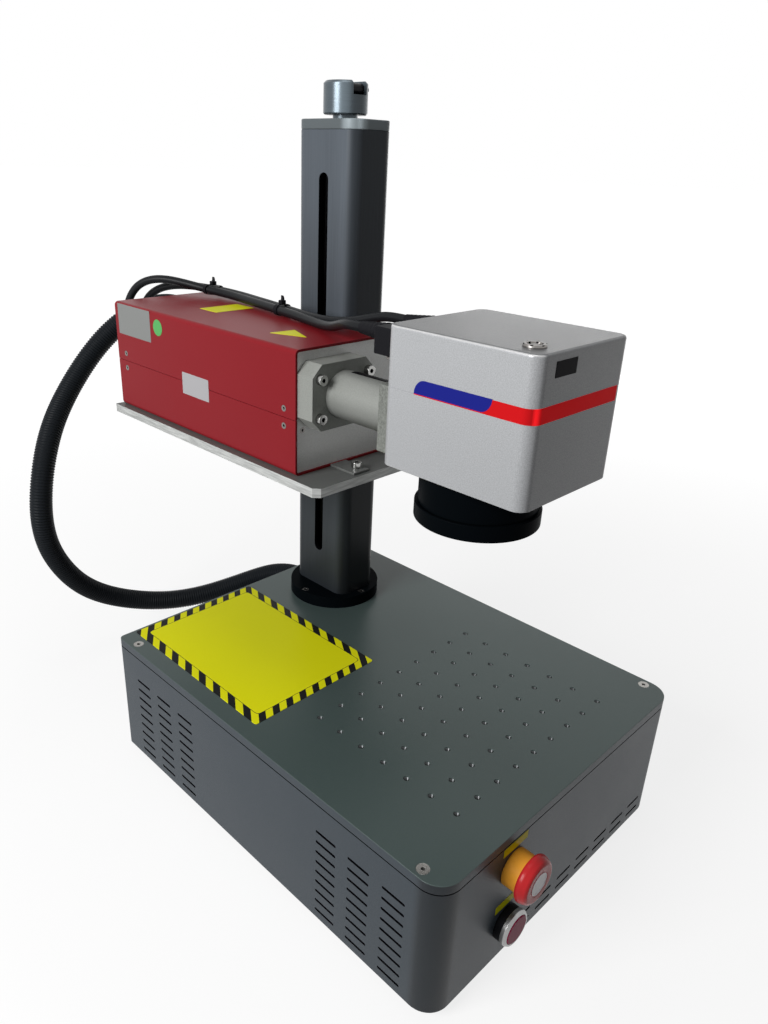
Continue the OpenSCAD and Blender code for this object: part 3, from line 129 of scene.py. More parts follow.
def eased(line, size, steps=3, closed=False):
    """A line whose corners are cut back by size and joined by a parabola: with a and b the points
    at that distance either side of a corner p, (1 - t)^2 a + 2 t (1 - t) p + t^2 b."""
    line = np.asarray(line, float)
    before, after = np.roll(line, 1, 0) - line, np.roll(line, -1, 0) - line
    la, lb = np.linalg.norm(before, axis=1), np.linalg.norm(after, axis=1)
    cut = np.minimum(size, 0.45 * np.minimum(la, lb))[:, None]
    a = line + before * cut / la[:, None]
    b = line + after * cut / lb[:, None]
    t = np.linspace(0, 1, steps + 1)[None, :, None]
    rounded = (1 - t) ** 2 * a[:, None] + 2 * t * (1 - t) * line[:, None] + t * t * b[:, None]
    if closed:
        return rounded.reshape(-1, line.shape[1])
    return np.concatenate([line[:1], rounded[1:-1].reshape(-1, line.shape[1]), line[-1:]])


def outline(width, depth, radius, steps=8):
    """A rectangle with round corners: each quarter circle is set out from its own corner centre."""
    angle = np.linspace(0, math.pi / 2, steps + 1)
    turn = (np.arange(4) * math.pi / 2)[:, None] + angle[None]
    sign = np.array([[1, 1], [-1, 1], [-1, -1], [1, -1]], float)[:, None]
    centre = sign * np.array([width / 2 - radius, depth / 2 - radius])
    return (centre + radius * np.stack([np.cos(turn), np.sin(turn)], -1)).reshape(-1, 2)


AXES = {
    "up": ((1, 0, 0), (0, 1, 0), (0, 0, 1)),
    "front": ((1, 0, 0), (0, 0, 1), (0, -1, 0)),
    "back": ((1, 0, 0), (0, 0, 1), (0, 1, 0)),
    "left": ((0, 1, 0), (0, 0, 1), (-1, 0, 0)),
    "right": ((0, 1, 0), (0, 0, 1), (1, 0, 0)),
}


def lofted(shapes, heights, centre, axis="up"):
    """Flat outlines stacked along an axis: centre + x u + y v + height w, one outline a height."""
    u, v, w = np.array(AXES[axis], float)
    shapes = np.asarray(shapes, float)
    heights = np.asarray(heights, float)[:, None, None]
    return np.array(centre, float) + shapes[..., :1] * u + shapes[..., 1:] * v + heights * w


def turned(profile, centre, axis="up", sides=64, wave=None):
    """A profile of (radius, height) pairs turned about an axis, as circles r cos(a), r sin(a)
    stacked at its heights. A wave multiplies the radius at each height and angle."""
    profile = np.asarray(profile, float)
    angle = np.linspace(0, 2 * math.pi, sides, endpoint=False)
    r = np.repeat(profile[:, :1], sides, 1)
    if wave is not None:
        r = r * wave(profile[:, 1][:, None], angle[None])
    return lofted(np.stack([r * np.cos(angle), r * np.sin(angle)], -1), profile[:, 1], centre, axis)


def slab(width, depth, radius, profile, centre, axis="up", steps=8):
    """A round-cornered rectangle carried up a profile of (inset, height) pairs: each ring is the
    outline drawn in by its inset."""
    rings = [outline(width - 2 * i, depth - 2 * i, max(radius - i, 0.05), steps) for i, _ in profile]
    return lofted(rings, [h for _, h in profile], centre, axis)


def box_grid(size, centre, ease=0.6, axis="up"):
    """A block with eased edges: its outline drawn in at both ends."""
    w, d, h = size
    profile = [(ease, 0), (0.3 * ease, 0.3 * ease), (0, ease), (0, h - ease)]
    profile += [(0.3 * ease, h - 0.3 * ease), (ease, h)]
    return slab(w, d, ease * 1.2, profile, centre, axis, 3)


def evenly(line, count):
    """A line sampled again at count + 1 places, each the same distance from the next."""
    run = np.concatenate([[0], np.cumsum(np.linalg.norm(np.diff(line, axis=0), axis=1))])
    at = np.linspace(0, run[-1], count + 1)
    return np.stack([np.interp(at, run, line[:, k]) for k in range(3)], 1)


def spline(points, count):
    """A uniform cubic B-spline through blended control points, sampled at even distances: each
    point weighs its four neighbours by (1-t)^3, 3t^3-6t^2+4, -3t^3+3t^2+3t+1 and t^3, over 6."""
    p = np.asarray(points, float)
    t = np.linspace(0, 1, 40, endpoint=False)[:, None, None]
    weights = ((1 - t) ** 3, 3 * t**3 - 6 * t * t + 4, -3 * t**3 + 3 * t * t + 3 * t + 1, t**3)
    fine = sum(w * p[k : len(p) - 3 + k][None] for k, w in enumerate(weights)) / 6
    fine = fine.transpose(1, 0, 2).reshape(-1, 3)
    return evenly(np.concatenate([fine, [(p[-3] + 4 * p[-2] + p[-1]) / 6]]), count)


def tube(line, radius, sides, away):
    """A tube round a line: line + r cos(a) n + r sin(a) b, where n is the part of the given
    direction that is square to the line, and b is square to both."""
    tangent = np.gradient(line, axis=0)
    tangent /= np.linalg.norm(tangent, axis=1)[:, None]
    n = away - tangent * (away * tangent).sum(1)[:, None]
    n /= np.linalg.norm(n, axis=1)[:, None]
    b = np.cross(tangent, n)
    angle = np.linspace(0, 2 * math.pi, sides, endpoint=False)
    radius = np.broadcast_to(radius, (len(line), sides))[..., None]
    ring = np.cos(angle)[None, :, None] * n[:, None] + np.sin(angle)[None, :, None] * b[:, None]
    return line[:, None] + radius * ring


def ribbon(path, low, high, thick, middle):
    """A flat band that follows a path in plan: the path itself, and the path moved away from the
    middle by its thickness along the normal, at the low and the high edge."""
    tangent = np.gradient(path, axis=0)
    tangent /= np.linalg.norm(tangent, axis=1)[:, None]
    out = path + thick * np.stack([tangent[:, 1], -tangent[:, 0]], 1)
    k = len(path) // 2
    if np.linalg.norm(out[k] - middle) < np.linalg.norm(path[k] - middle):
        out = 2 * path - out
    sides = ((path, low), (out, low), (out, high), (path, high))
    return np.stack([np.column_stack([p, np.full(len(p), z)]) for p, z in sides], 1)


# Meshes


def settle(mesh, angle):
    """Shades a mesh smooth except along edges sharper than the angle."""
    mesh.polygons.foreach_set("use_smooth", np.ones(len(mesh.polygons), bool))
    mesh.set_sharp_from_angle(angle=math.radians(angle))
    mesh.update()


def put_in_scene(name, data):
    """An object for its data, in the scene's own collection."""
    item = bpy.data.objects.new(name, data)
    bpy.context.scene.collection.objects.link(item)
    return item


def finish_piece(name, mesh, finish, body, stands_for, edge_finish=None):
    """Puts a mesh in the scene with its finish, on its body, in place of the CAD nodes."""
    mesh.materials.clear()
    mesh.materials.append(look(finish))
    mesh.materials.append(look(edge_finish or finish))
    piece = put_in_scene(name, mesh)
    if body:
        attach(piece, body)
    piece.modifiers.new("Flat faces stay flat", "WEIGHTED_NORMAL").keep_sharp = True
    if stands_for:
        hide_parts(*stands_for)
    return piece


def make(name, grids, finish, body, stands_for=(), wrap=False, angle=35):
    """One mesh of one or more grids, given in millimetres. A grid's columns close on themselves;
    its rows close too where wrap is set, for all grids or for each, and get an end face each
    otherwise. Doubles are merged, faces without area dropped, and all faces turned outwards."""
    grids = grids if isinstance(grids, list) else [grids]
    wrap = wrap if isinstance(wrap, list) else [wrap] * len(grids)
    points, faces, first = [], [], 0
    for grid, closed in zip(grids, wrap):
        rows, columns = grid.shape[:2]
        points.append(grid.reshape(-1, 3))
        faces += (grid_faces(rows, columns, closed) + first).tolist()
        if not closed:
            faces.append(list(range(first, first + columns)))
            faces.append(list(range(first + (rows - 1) * columns, first + rows * columns)))
        first += rows * columns
    mesh = bpy.data.meshes.new(name)
    mesh.from_pydata(in_row(np.concatenate(points)).tolist(), [], faces)
    work = bmesh.new()
    work.from_mesh(mesh)
    bmesh.ops.remove_doubles(work, verts=work.verts, dist=1e-6)
    bmesh.ops.dissolve_degenerate(work, edges=work.edges, dist=1e-7)
    bmesh.ops.recalc_face_normals(work, faces=work.faces)
    work.to_mesh(mesh)
    work.free()
    settle(mesh, angle)
    return finish_piece(name, mesh, finish, body, stands_for)


def in_row(points):
    """Millimetre places carried to metres in the row frame."""
    return (np.asarray(points, float) + BASE_SHIFT) * MM


def ease_edges(work, width, steps, material, test=None):
    """Bevels the outward edges sharper than 28 degrees that pass the test."""
    sharp = math.radians(28)
    edges = [e for e in work.edges if len(e.link_faces) == 2 and e.calc_face_angle_signed(0) > sharp
             and (test is None or test(e))]
    if edges:
        bmesh.ops.bevel(work, geom=edges, offset=width * MM, offset_type="OFFSET", segments=steps,
                        profile=0.5, affect="EDGES", clamp_overlap=True, material=material)


def softened(node, finish, width, steps=2, edge_finish=None, rules=(), angle=40, test=None):
    """A copy of a CAD node with its doubles merged, its flat faces joined and its edges eased.
    Rules give further edges their own width, steps and material before the rest."""
    mesh = frame["nodes"][node].data.copy()
    mesh.name = node + "_eased"
    work = bmesh.new()
    work.from_mesh(mesh)
    bmesh.ops.remove_doubles(work, verts=work.verts, dist=2e-6)
    bmesh.ops.dissolve_limit(work, angle_limit=math.radians(0.5), verts=work.verts, edges=work.edges)
    for rule in rules:
        ease_edges(work, *rule)
    ease_edges(work, width, steps, 1 if edge_finish else 0, test)
    work.to_mesh(mesh)
    work.free()
    settle(mesh, angle)
    return finish_piece(mesh.name, mesh, finish, BODY_OF[node], (node,), edge_finish)


def soften_all(*rows):
    """Softens one CAD node a row: its name and what softened() takes after it."""
    for row in rows:
        softened(*row)


def ends_of(edge):
    """The two ends of an edge as rows, in millimetres of the row frame."""
    return np.array([v.co for v in edge.verts]) / MM


def depth_in(points, centre, half, corners):
    """How deep points lie in a rectangle with round corners, front and rear, seen from above: with
    q the distance past the corner's centre on each axis, it is r - |max(q, 0)| - min(max(q), 0)."""
    away = points[:, :2] - np.array(centre)
    radius = np.where(away[:, 1] < 0, *corners)
    q = abs(away) - np.array(half) + radius[:, None]
    return radius - np.linalg.norm(np.maximum(q, 0), axis=1) - np.minimum(q.max(1), 0)


def read(items, key, kind, columns):
    """An attribute of a mesh's items as an array with one row an item."""
    values = np.empty(len(items) * columns, kind)
    items.foreach_get(key, values)
    return values.reshape(-1, columns) if columns > 1 else values


def repaint(piece, finish, chosen):
    """Gives a further finish to the faces picked by a test of their centres, in millimetres from
    the middle of the base, and their normals."""
    mesh = piece.data
    centres = read(mesh.polygons, "center", float, 3) / MM - BASE_SHIFT
    picked = chosen(centres, read(mesh.polygons, "normal", float, 3))
    index = read(mesh.polygons, "material_index", np.int32, 1)
    index[picked] = len(mesh.materials)
    mesh.materials.append(look(finish))
    mesh.polygons.foreach_set("material_index", index)


def paint_socket_shade(piece, finish, axis, radius, where=None):
    """Paints shade into the key socket of each screw: each screw's points are joined by their edges into one
    set, whose middle is its axis, and the faces near that axis below its head are picked, of the
    screws whose middle passes the test."""
    mesh = piece.data
    edges = read(mesh.edges, "vertices", np.int32, 2)
    points = read(mesh.vertices, "co", float, 3) / MM - BASE_SHIFT
    label = np.arange(len(points))
    for _ in range(60):
        least = label[edges].min(1)
        np.minimum.at(label, edges[:, 0], least)
        np.minimum.at(label, edges[:, 1], least)
        label = label[label]
    low, high = np.full(points.shape, np.inf), np.full(points.shape, -np.inf)
    np.minimum.at(low, label, points)
    np.maximum.at(high, label, points)
    first = label[[p.vertices[0] for p in mesh.polygons]]
    low, high = low[first], high[first]
    out = np.array(AXES[axis][2], float)
    top = np.where(out > 0, high, low) @ abs(out)

    def chosen(centres, normals):
        """Faces less than the socket's radius from the axis and under the head's face."""
        across = (centres - (low + high) / 2) * (1 - abs(out))
        below = (top - centres @ abs(out)) * out.sum()
        picked = (np.linalg.norm(across, axis=1) < radius) & (below > 0.12)
        return picked & where((low + high) / 2) if where else picked

    repaint(piece, finish, chosen)


# Finishes

# Each row: name, colour, two ends of the roughness, metal, specular, grain's scale or brushed
# lines' squeeze, bump in millimetres, speckle, clouds and the clouds' scale
FINISHES = {
    "case": ("Case paint", "case", (0.34, 0.44), 0, 0.22, 1300, 0.1, 0.4, 0.05, 6),
    "table": ("Table paint", "table", (0.26, 0.36), 0, 0.3, 1300, 0.05, 0.16, 0.07, 5),
    # painted highlight along the table's top rim
    "table_edge": ("Bright rim of the table", (0.238, 0.272, 0.255), (0.26, 0.36), 0, 0.3, 1300, 0.05, 0.3,
                   0.2, 40),
    "zinc": ("Zinc sheet", (0.42, 0.43, 0.44), (0.35, 0.5), 0.9, 0.5, 300, 0.02, 0.1, 0.2, 40),
    "black_steel": ("Black oxide", (0.018, 0.018, 0.02), (0.3, 0.45), 0.6, 0.2, 900, 0.01),
    "bright_steel": ("Bright steel", (0.36, 0.36, 0.35), (0.12, 0.24), 1, 0.5, 900, 0.01, 0.1, 0.2, 60),
    "rubber": ("Foot rubber", (0.01, 0.01, 0.01), (0.7, 0.85), 0, 0.15, 700, 0.1),
    "print": ("Yellow film", "print", (0.32, 0.4), 0, 0.05, 500, 0.01, 0.02, 0.03),
    "black_metal": ("Black anodised", "black_metal", (0.32, 0.42), 0, 0.006, 1500, 0.02, 0.1, 0.05),
    "column": ("Column anodised", "column", (0.3, 0.38), 0, 0.1, (900, 900, 16), 0.012, 0.12, 0.1),
    # painted highlight for the eased edges of the cap and the knob
    "column_edge": ("Column bright corner", (0.2769, 0.2846, 0.2923), (0.28, 0.36), 0.3, 0.2, 1500, 0.01),
    "cap": ("Cap anodised", (0.114, 0.132, 0.14), (0.35, 0.45), 0.05, 0.15, 1200, 0.02),
    "gunmetal": ("Gunmetal", "knob", (0.24, 0.3), 0.4, 0.3, (60, 60, 2400), 0.01, 0.18, 0.08),
    "black_satin": ("Black satin metal", (0.008, 0.008, 0.01), (0.3, 0.4), 0.2, 0.12, 1200, 0.02),
    "blasted": ("Blasted aluminium", "aluminium", (0.36, 0.46), 0.1, 0.2, 1100, 0.06, 0.26, 0.06),
    "tube": ("Blasted round tube", (0.15, 0.155, 0.145), (0.34, 0.44), 0.1, 0.2, 1100, 0.06, 0.2, 0.06),
    # bare edges of the expander and the adapter, and a painted highlight on the scan head's upper left edge
    "rubbed": ("Rubbed bare edge", (0.6, 0.6, 0.6), (0.2, 0.3), 0.4, 0.5, 900, 0.01, 0.2, 0.15, 40),
    "adapter": ("Bead blasted adapter", (0.175, 0.184, 0.168), (0.4, 0.5), 0.1, 0.3, 420, 0.2, 0.7, 0.1),
    "plate": ("Face plate aluminium", (0.888, 0.894, 0.876), (0.34, 0.44), 0.1, 0.3, 1100, 0.04, 0.16, 0.06),
    "sawn": ("Sawn edge", (0.46, 0.47, 0.46), (0.3, 0.42), 0.2, 0.3, (60, 60, 900), 0.06, 0.5, 0.2),
    "dull_steel": ("Dull steel", (0.22, 0.21, 0.2), (0.25, 0.4), 1, 0.5, 900, 0.01, 0.2, 0.3, 60),
    "screw": ("Bright screw", (0.36, 0.35, 0.33), (0.2, 0.35), 0.8, 0.5, 900, 0.01, 0.2, 0.3, 60),
    # painted shade for the key socket of the table's screws
    "socket": ("Key socket", (0.1, 0.1, 0.095), (0.4, 0.5), 0.3, 0.1, 900, 0),
    # painted shade for recesses, slots, the work holes' chamfers and the key socket faces of screws
    "dark": ("Dark recess", (0.003, 0.003, 0.004), (0.6, 0.8), 0, 0, 900, 0),
    "raw": ("Milled aluminium", (0.13, 0.135, 0.13), (0.3, 0.44), 0.12, 0.25, (30, 900, 900), 0.02, 0.16,
            0.12),
    "worn": ("Worn bright edge", (0.5692, 0.5769, 0.5692), (0.25, 0.35), 0.4, 0.3, 900, 0.03, 0.3, 0.3, 60),
    "stop_orange": ("Orange collar", "stop_collar", (0.38, 0.46), 0, 0.1, 900, 0.02, 0.03, 0.05, 30),
    "stop_red": ("Red stop head", "stop_head", (0.22, 0.3), 0, 0.15, 900, 0.01, 0.03, 0.05, 30),
    "black_plastic": ("Black moulding", (0.009, 0.009, 0.011), (0.4, 0.52), 0, 0.05, 1600, 0.05),
    "satin_steel": ("Satin steel bezel", (0.34, 0.34, 0.34), (0.24, 0.34), 0.9, 0.5, 900, 0.01, 0.1, 0.2, 60),
    "button": ("Dark red lens", (0.55, 0.04, 0.13), (0.2, 0.3), 0, 0.03, 900, 0.01),
    "board": ("Green circuit board", (0.01, 0.09, 0.03), (0.35, 0.45), 0, 0.5, 400, 0.02, 0.3),
    "hose": ("Ribbed hose", (0.009, 0.011, 0.0135), (0.36, 0.48), 0, 0.06, 800, 0.02, 0.1, 0.15, 12),
    "cable": ("Cable jacket", (0.008, 0.009, 0.0105), (0.32, 0.44), 0, 0.12, 900, 0.02, 0.1, 0.1, 20),
    "red": ("Red anodised", "laser", (0.28, 0.36), 0, 0.06, 1500, 0.03, 0.16, 0.06, 7),
    "red_edge": ("Bright red edge", "laser_edge", (0.3, 0.38), 0.1, 0.2, 1500, 0.02, 0.1, 0.05, 7),
    "silver": ("Silver paint", "scan_head", (0.28, 0.36), 0.08, 0.35, 1300, 0.1, 0.4, 0.05, 7),
    "motor": ("Dark turned metal", (0.06, 0.06, 0.065), (0.3, 0.4), 0.8, 0.5, (1200, 1200, 20), 0.03),
    "mirror": ("Coated mirror", (0.86, 0.86, 0.83), (0.03, 0.05), 1, 0.5, 300, 0, 0.01, 0.01),
    "switch": ("Red rocker", (0.42, 0.012, 0.01), (0.25, 0.35), 0, 0.5, 900, 0.01),
    "stripe": ("Red tape", "stripe", (0.3, 0.36), 0, 0.03, 700, 0.01, 0.03, 0.03),
    "blue": ("Blue tag", "tag", (0.28, 0.34), 0, 0.03, 700, 0.01, 0.03, 0.03),
    "white": ("White film", (0.396, 0.39, 0.402), (0.4, 0.5), 0, 0.2, 700, 0.01, 0.02, 0.04),
    "disc": ("Printed disc without print", (0.8832, 0.864, 0.8736), (0.35, 0.42), 0.1, 0.2, 900, 0.01, 0.05,
             0.06),
    "label": ("Silver label", (0.2215, 0.2277, 0.2215), (0.35, 0.42), 0.1, 0.2, 900, 0.01, 0.05, 0.06),
    "green": ("Green dot", (0.0538, 0.3462, 0.0692), (0.35, 0.42), 0, 0.5, 700, 0.01, 0.04, 0.06),
    "tread": ("Bare threads", (0.065, 0.068, 0.07), (0.28, 0.38), 1, 0.5, 900, 0, 0.3, 0.3, 200),
    "oiled": ("Oiled dark steel", (0.02, 0.02, 0.022), (0.3, 0.4), 0.4, 0.05, 900, 0.01),
    "black_film": ("Black film", (0.004, 0.004, 0.005), (0.3, 0.38), 0, 0.02, 700, 0.01),
}
FRONT = (0.0, -1.0, 0.0)
DOWN = (0.0, 0.0, -1.0)
UP = (0.0, 0.0, 1.0)
CORNER = (-0.7071, -0.7071, 0.0)
BEAM = (BEAM_X, 0, BEAM_Z)
SCAN_FACE = (0, SCAN_FRONT, 0)
# Bands of painted highlight and painted shade, soft at their edges: a centre, a direction, where the
# band starts and is full along it in millimetres, and the share by which it changes the colour
PAINTED_LIGHT_BANDS = {
    # painted shade on the case's front left corner
    "case": [((0, 0, 0), CORNER, 245, 251.5, -0.62)],
    # painted highlight beside the column's front left corner, painted shade over its front face, and painted
    # shade growing downwards from below the cap, more under the laser and shelf and more again near the foot
    "column": [
        (COLUMN, FRONT, 12, 26, 0.16), (COLUMN, FRONT, 27, 35, -0.60),
        ((0, 0, 592), DOWN, 0, 150, -0.32), ((0, 0, 442), DOWN, 0, 110, -0.50),
        ((0, 0, 230), DOWN, 0, 90, -0.45),
    ],
    # painted highlight on the cap's front left corner and its front face
    "cap": [(COLUMN, CORNER, 31, 37, 1.7), (COLUMN, FRONT, 35, 37.4, 1.0)],
    # a painted highlight streak and a painted shade on the knob's round wall
    "gunmetal": [
        (COLUMN, (-0.809, -0.588, 0.0), 17.2, 19.5, 0.7), (COLUMN, (-0.139, -0.990, 0.0), 17.5, 19.5, -0.4),
    ],
    # painted highlight along the upper left of the expander tube
    "tube": [(BEAM, (-0.844, 0.0, 0.536), 2, 15, 0.5), (BEAM, (-0.844, 0.0, 0.536), 14, 19.4, 0.2)],
    # painted shade on the scan head's top and front faces, and painted light growing upwards on its sides
    "silver": [
        ((0, 0, SCAN_TOP), UP, -0.6, -0.1, -0.69), (SCAN_FACE, FRONT, -1.2, -0.1, -0.36),
        ((0, 0, 376), UP, 0, 95, 0.08),
    ],
    # painted light on the front face of the stripe
    "stripe": [(SCAN_FACE, FRONT, -3, -0.2, 3.6)],
}


def set_inputs(tree, node, **inputs):
    """Sets a node's inputs, by name or as i and a number; an output of another node is linked."""
    for key, value in inputs.items():
        by_number = key[0] == "i" and key[1:].isdigit()
        socket = node.inputs[int(key[1:]) if by_number else key.replace("_", " ")]
        if isinstance(value, bpy.types.NodeSocket):
            tree.links.new(value, socket)
        else:
            socket.default_value = value


def add_node(tree, kind, settings=None, **inputs):
    """A node with its settings and inputs."""
    node = tree.nodes.new(kind)
    for key, value in (settings or {}).items():
        setattr(node, key, value)
    set_inputs(tree, node, **inputs)
    return node


def math_node(tree, operation, a, b=0.0, c=0.5):
    """One sum of two values, or of three where the operation takes them."""
    return add_node(tree, "ShaderNodeMath", {"operation": operation}, i0=a, i1=b, i2=c).outputs[0]


def vector_node(tree, operation, **inputs):
    """One sum of vectors."""
    return add_node(tree, "ShaderNodeVectorMath", {"operation": operation}, **inputs).outputs


def spread(tree, value, low, high, to_low=0.0, to_high=1.0, kind="LINEAR"):
    """A value carried from one range to another, held at its ends."""
    return add_node(tree, "ShaderNodeMapRange", {"clamp": True, "interpolation_type": kind},
                    i0=value, i1=low, i2=high, i3=to_low, i4=to_high).outputs[0]


def noise(tree, where, scale, detail):
    """A noise of a scale and detail at a place."""
    return add_node(tree, "ShaderNodeTexNoise", Vector=where, Scale=scale, Detail=detail).outputs[0]


def place(tree):
    """The object's own coordinates."""
    return add_node(tree, "ShaderNodeTexCoord").outputs["Object"]


def grain(tree, given):
    """Fine grain of a powder coat, blasting or moulding: two noises, one finer, averaged."""
    where = place(tree)
    coarse = noise(tree, where, given["Scale"], 2.0)
    fine = noise(tree, where, math_node(tree, "MULTIPLY", given["Scale"], 2.7), 1.0)
    both = math_node(tree, "MULTIPLY", math_node(tree, "ADD", coarse, fine), 0.5)
    return {"Mask": spread(tree, both, 0.36, 0.64), "Height": both}


def brushed_lines(tree, given):
    """Brushed or milled lines: a noise squeezed hard across the lines and hardly along them."""
    squeezed = add_node(tree, "ShaderNodeMapping", Vector=place(tree), Scale=given["Squeeze"])
    lines = noise(tree, squeezed.outputs[0], 1.0, 3.0)
    return {"Mask": spread(tree, lines, 0.32, 0.68), "Height": lines}


def smudges(tree, given):
    """Slow uneven gloss from handling: a noise carried to a low and a high value."""
    slow = noise(tree, place(tree), given["Scale"], 4.0)
    return {"Value": spread(tree, slow, 0.15, 0.85, given["Low"], given["High"])}


def uneven_tint(tree, given):
    """A colour made lighter and darker by a share: slow clouds plus the grain's mask."""
    cloud = noise(tree, place(tree), given["Cloud scale"], 3.0)
    slow = math_node(tree, "MULTIPLY", spread(tree, cloud, 0.15, 0.85, -0.75, 0.75), given["Clouds"])
    quick = math_node(tree, "MULTIPLY", math_node(tree, "SUBTRACT", given["Mask"], 0.5), given["Grain"])
    level = math_node(tree, "ADD", math_node(tree, "ADD", slow, quick), 1.0)
    return {"Color": vector_node(tree, "SCALE", i0=given["Color"], Scale=level)[0]}


def painted_light_band(tree, given):
    """A soft band of painted light or shade across a piece: how far a place lies along a direction from
    a centre, carried smoothly to 0 before the first distance and 1 past the second."""
    away = vector_node(tree, "SUBTRACT", i0=place(tree), i1=given["Centre"])[0]
    along = vector_node(tree, "DOT_PRODUCT", i0=away, i1=given["Direction"])["Value"]
    return {"Mask": spread(tree, along, given["From"], given["To"], kind="SMOOTHSTEP")}


# Each group: what fills it, its inputs with their defaults, and its outputs
GROUPS = {
    "Fine grain": (grain, {"Scale": 900.0}, ("Mask", "Height")),
    "Brushed lines": (brushed_lines, {"Squeeze": (1200.0, 1200.0, 12.0)}, ("Mask", "Height")),
    "Smudges": (smudges, {"Scale": 14.0, "Low": 0.35, "High": 0.5}, ("Value",)),
    "Uneven tint": (
        uneven_tint,
        {"Color": (0.5, 0.5, 0.5, 1.0), "Mask": 0.5, "Grain": 0.1, "Clouds": 0.08, "Cloud scale": 9.0},
        ("Color",),
    ),
    "Soft band": (
        painted_light_band,
        {"Centre": (0.0, 0.0, 0.0), "Direction": (0.0, 0.0, 1.0), "From": 0.0, "To": 0.01},
        ("Mask",),
    ),
}
SOCKET_KINDS = {1: "NodeSocketFloat", 3: "NodeSocketVector", 4: "NodeSocketColor"}


def new_group(name):
    """A node group from its row, whose inputs are numbers, vectors or colours by their defaults."""
    fill, inputs, outputs = GROUPS[name]
    tree = bpy.data.node_groups.new(name, "ShaderNodeTree")
    for label, value in inputs.items():
        kind = SOCKET_KINDS[np.size(value)]
        tree.interface.new_socket(name=label, in_out="INPUT", socket_type=kind).default_value = value
    for label in outputs:
        kind = SOCKET_KINDS[4 if label == "Color" else 1]
        tree.interface.new_socket(name=label, in_out="OUTPUT", socket_type=kind)
    start, end = tree.nodes.new("NodeGroupInput"), tree.nodes.new("NodeGroupOutput")
    for label, value in fill(tree, start.outputs).items():
        tree.links.new(value, end.inputs[label])
    return tree


def use_group(tree, name, **values):
    """The outputs of a group placed in a material with its own values."""
    group = bpy.data.node_groups.get(name) or new_group(name)
    return add_node(tree, "ShaderNodeGroup", {"node_tree": group}, **values).outputs


def new_material(name):
    """An empty material with its nodes and its Principled shader."""
    material = bpy.data.materials.new(name)
    material.use_nodes = True
    return material, material.node_tree, material.node_tree.nodes["Principled BSDF"]


def new_finish(name, colour, rough, metal, specular, scale, bump, speckle=0.08, clouds=0.06,
               cloud_scale=9.0, bands=()):
    """A finish of grain, or of brushed lines where the scale is a squeeze: they tint the colour
    and stand out by the bump, and smudges change the gloss between the two roughness values. Each
    band is painted light or shade: it makes the colour lighter or darker by its share."""
    material, tree, shader = new_material(name)
    if isinstance(scale, tuple):
        marks = use_group(tree, "Brushed lines", Squeeze=scale)
    else:
        marks = use_group(tree, "Fine grain", Scale=scale)
    level = 1.0
    # each band paints light or shade into the colour
    for centre, direction, start, full, share in bands:
        band = use_group(tree, "Soft band", Centre=tuple(in_row(centre)), Direction=direction,
                         From=start * MM, To=full * MM)
        share = math_node(tree, "ADD", math_node(tree, "MULTIPLY", band["Mask"], share), 1.0)
        level = math_node(tree, "MULTIPLY", share, level)
    if bands:
        colour = vector_node(tree, "SCALE", i0=tuple(colour), Scale=level)[0]
    else:
        colour = (*colour, 1)
    tint = use_group(tree, "Uneven tint", Color=colour, Mask=marks["Mask"], Grain=speckle, Clouds=clouds,
                     Cloud_scale=cloud_scale)
    gloss = use_group(tree, "Smudges", Scale=cloud_scale * 1.6, Low=rough[0], High=rough[1])
    set_inputs(tree, shader, Base_Color=tint["Color"], Roughness=gloss["Value"], Metallic=metal,
               Specular_IOR_Level=specular)
    if bump:
        raised = add_node(tree, "ShaderNodeBump", Distance=bump * MM, Strength=1.0, Height=marks["Height"])
        set_inputs(tree, shader, Normal=raised.outputs[0])
    return material


def new_glass(name):
    """Coated lens glass, whose plain transmission and roughness stay on the shader."""
    material, tree, shader = new_material(name)
    tint = use_group(tree, "Uneven tint", Color=(0.42, 0.46, 0.62, 1), Grain=0.02, Clouds=0.12,
                     Cloud_scale=30.0)
    set_inputs(tree, shader, Base_Color=tint["Color"], Roughness=0.03, Transmission_Weight=0.75, IOR=1.5)
    return material


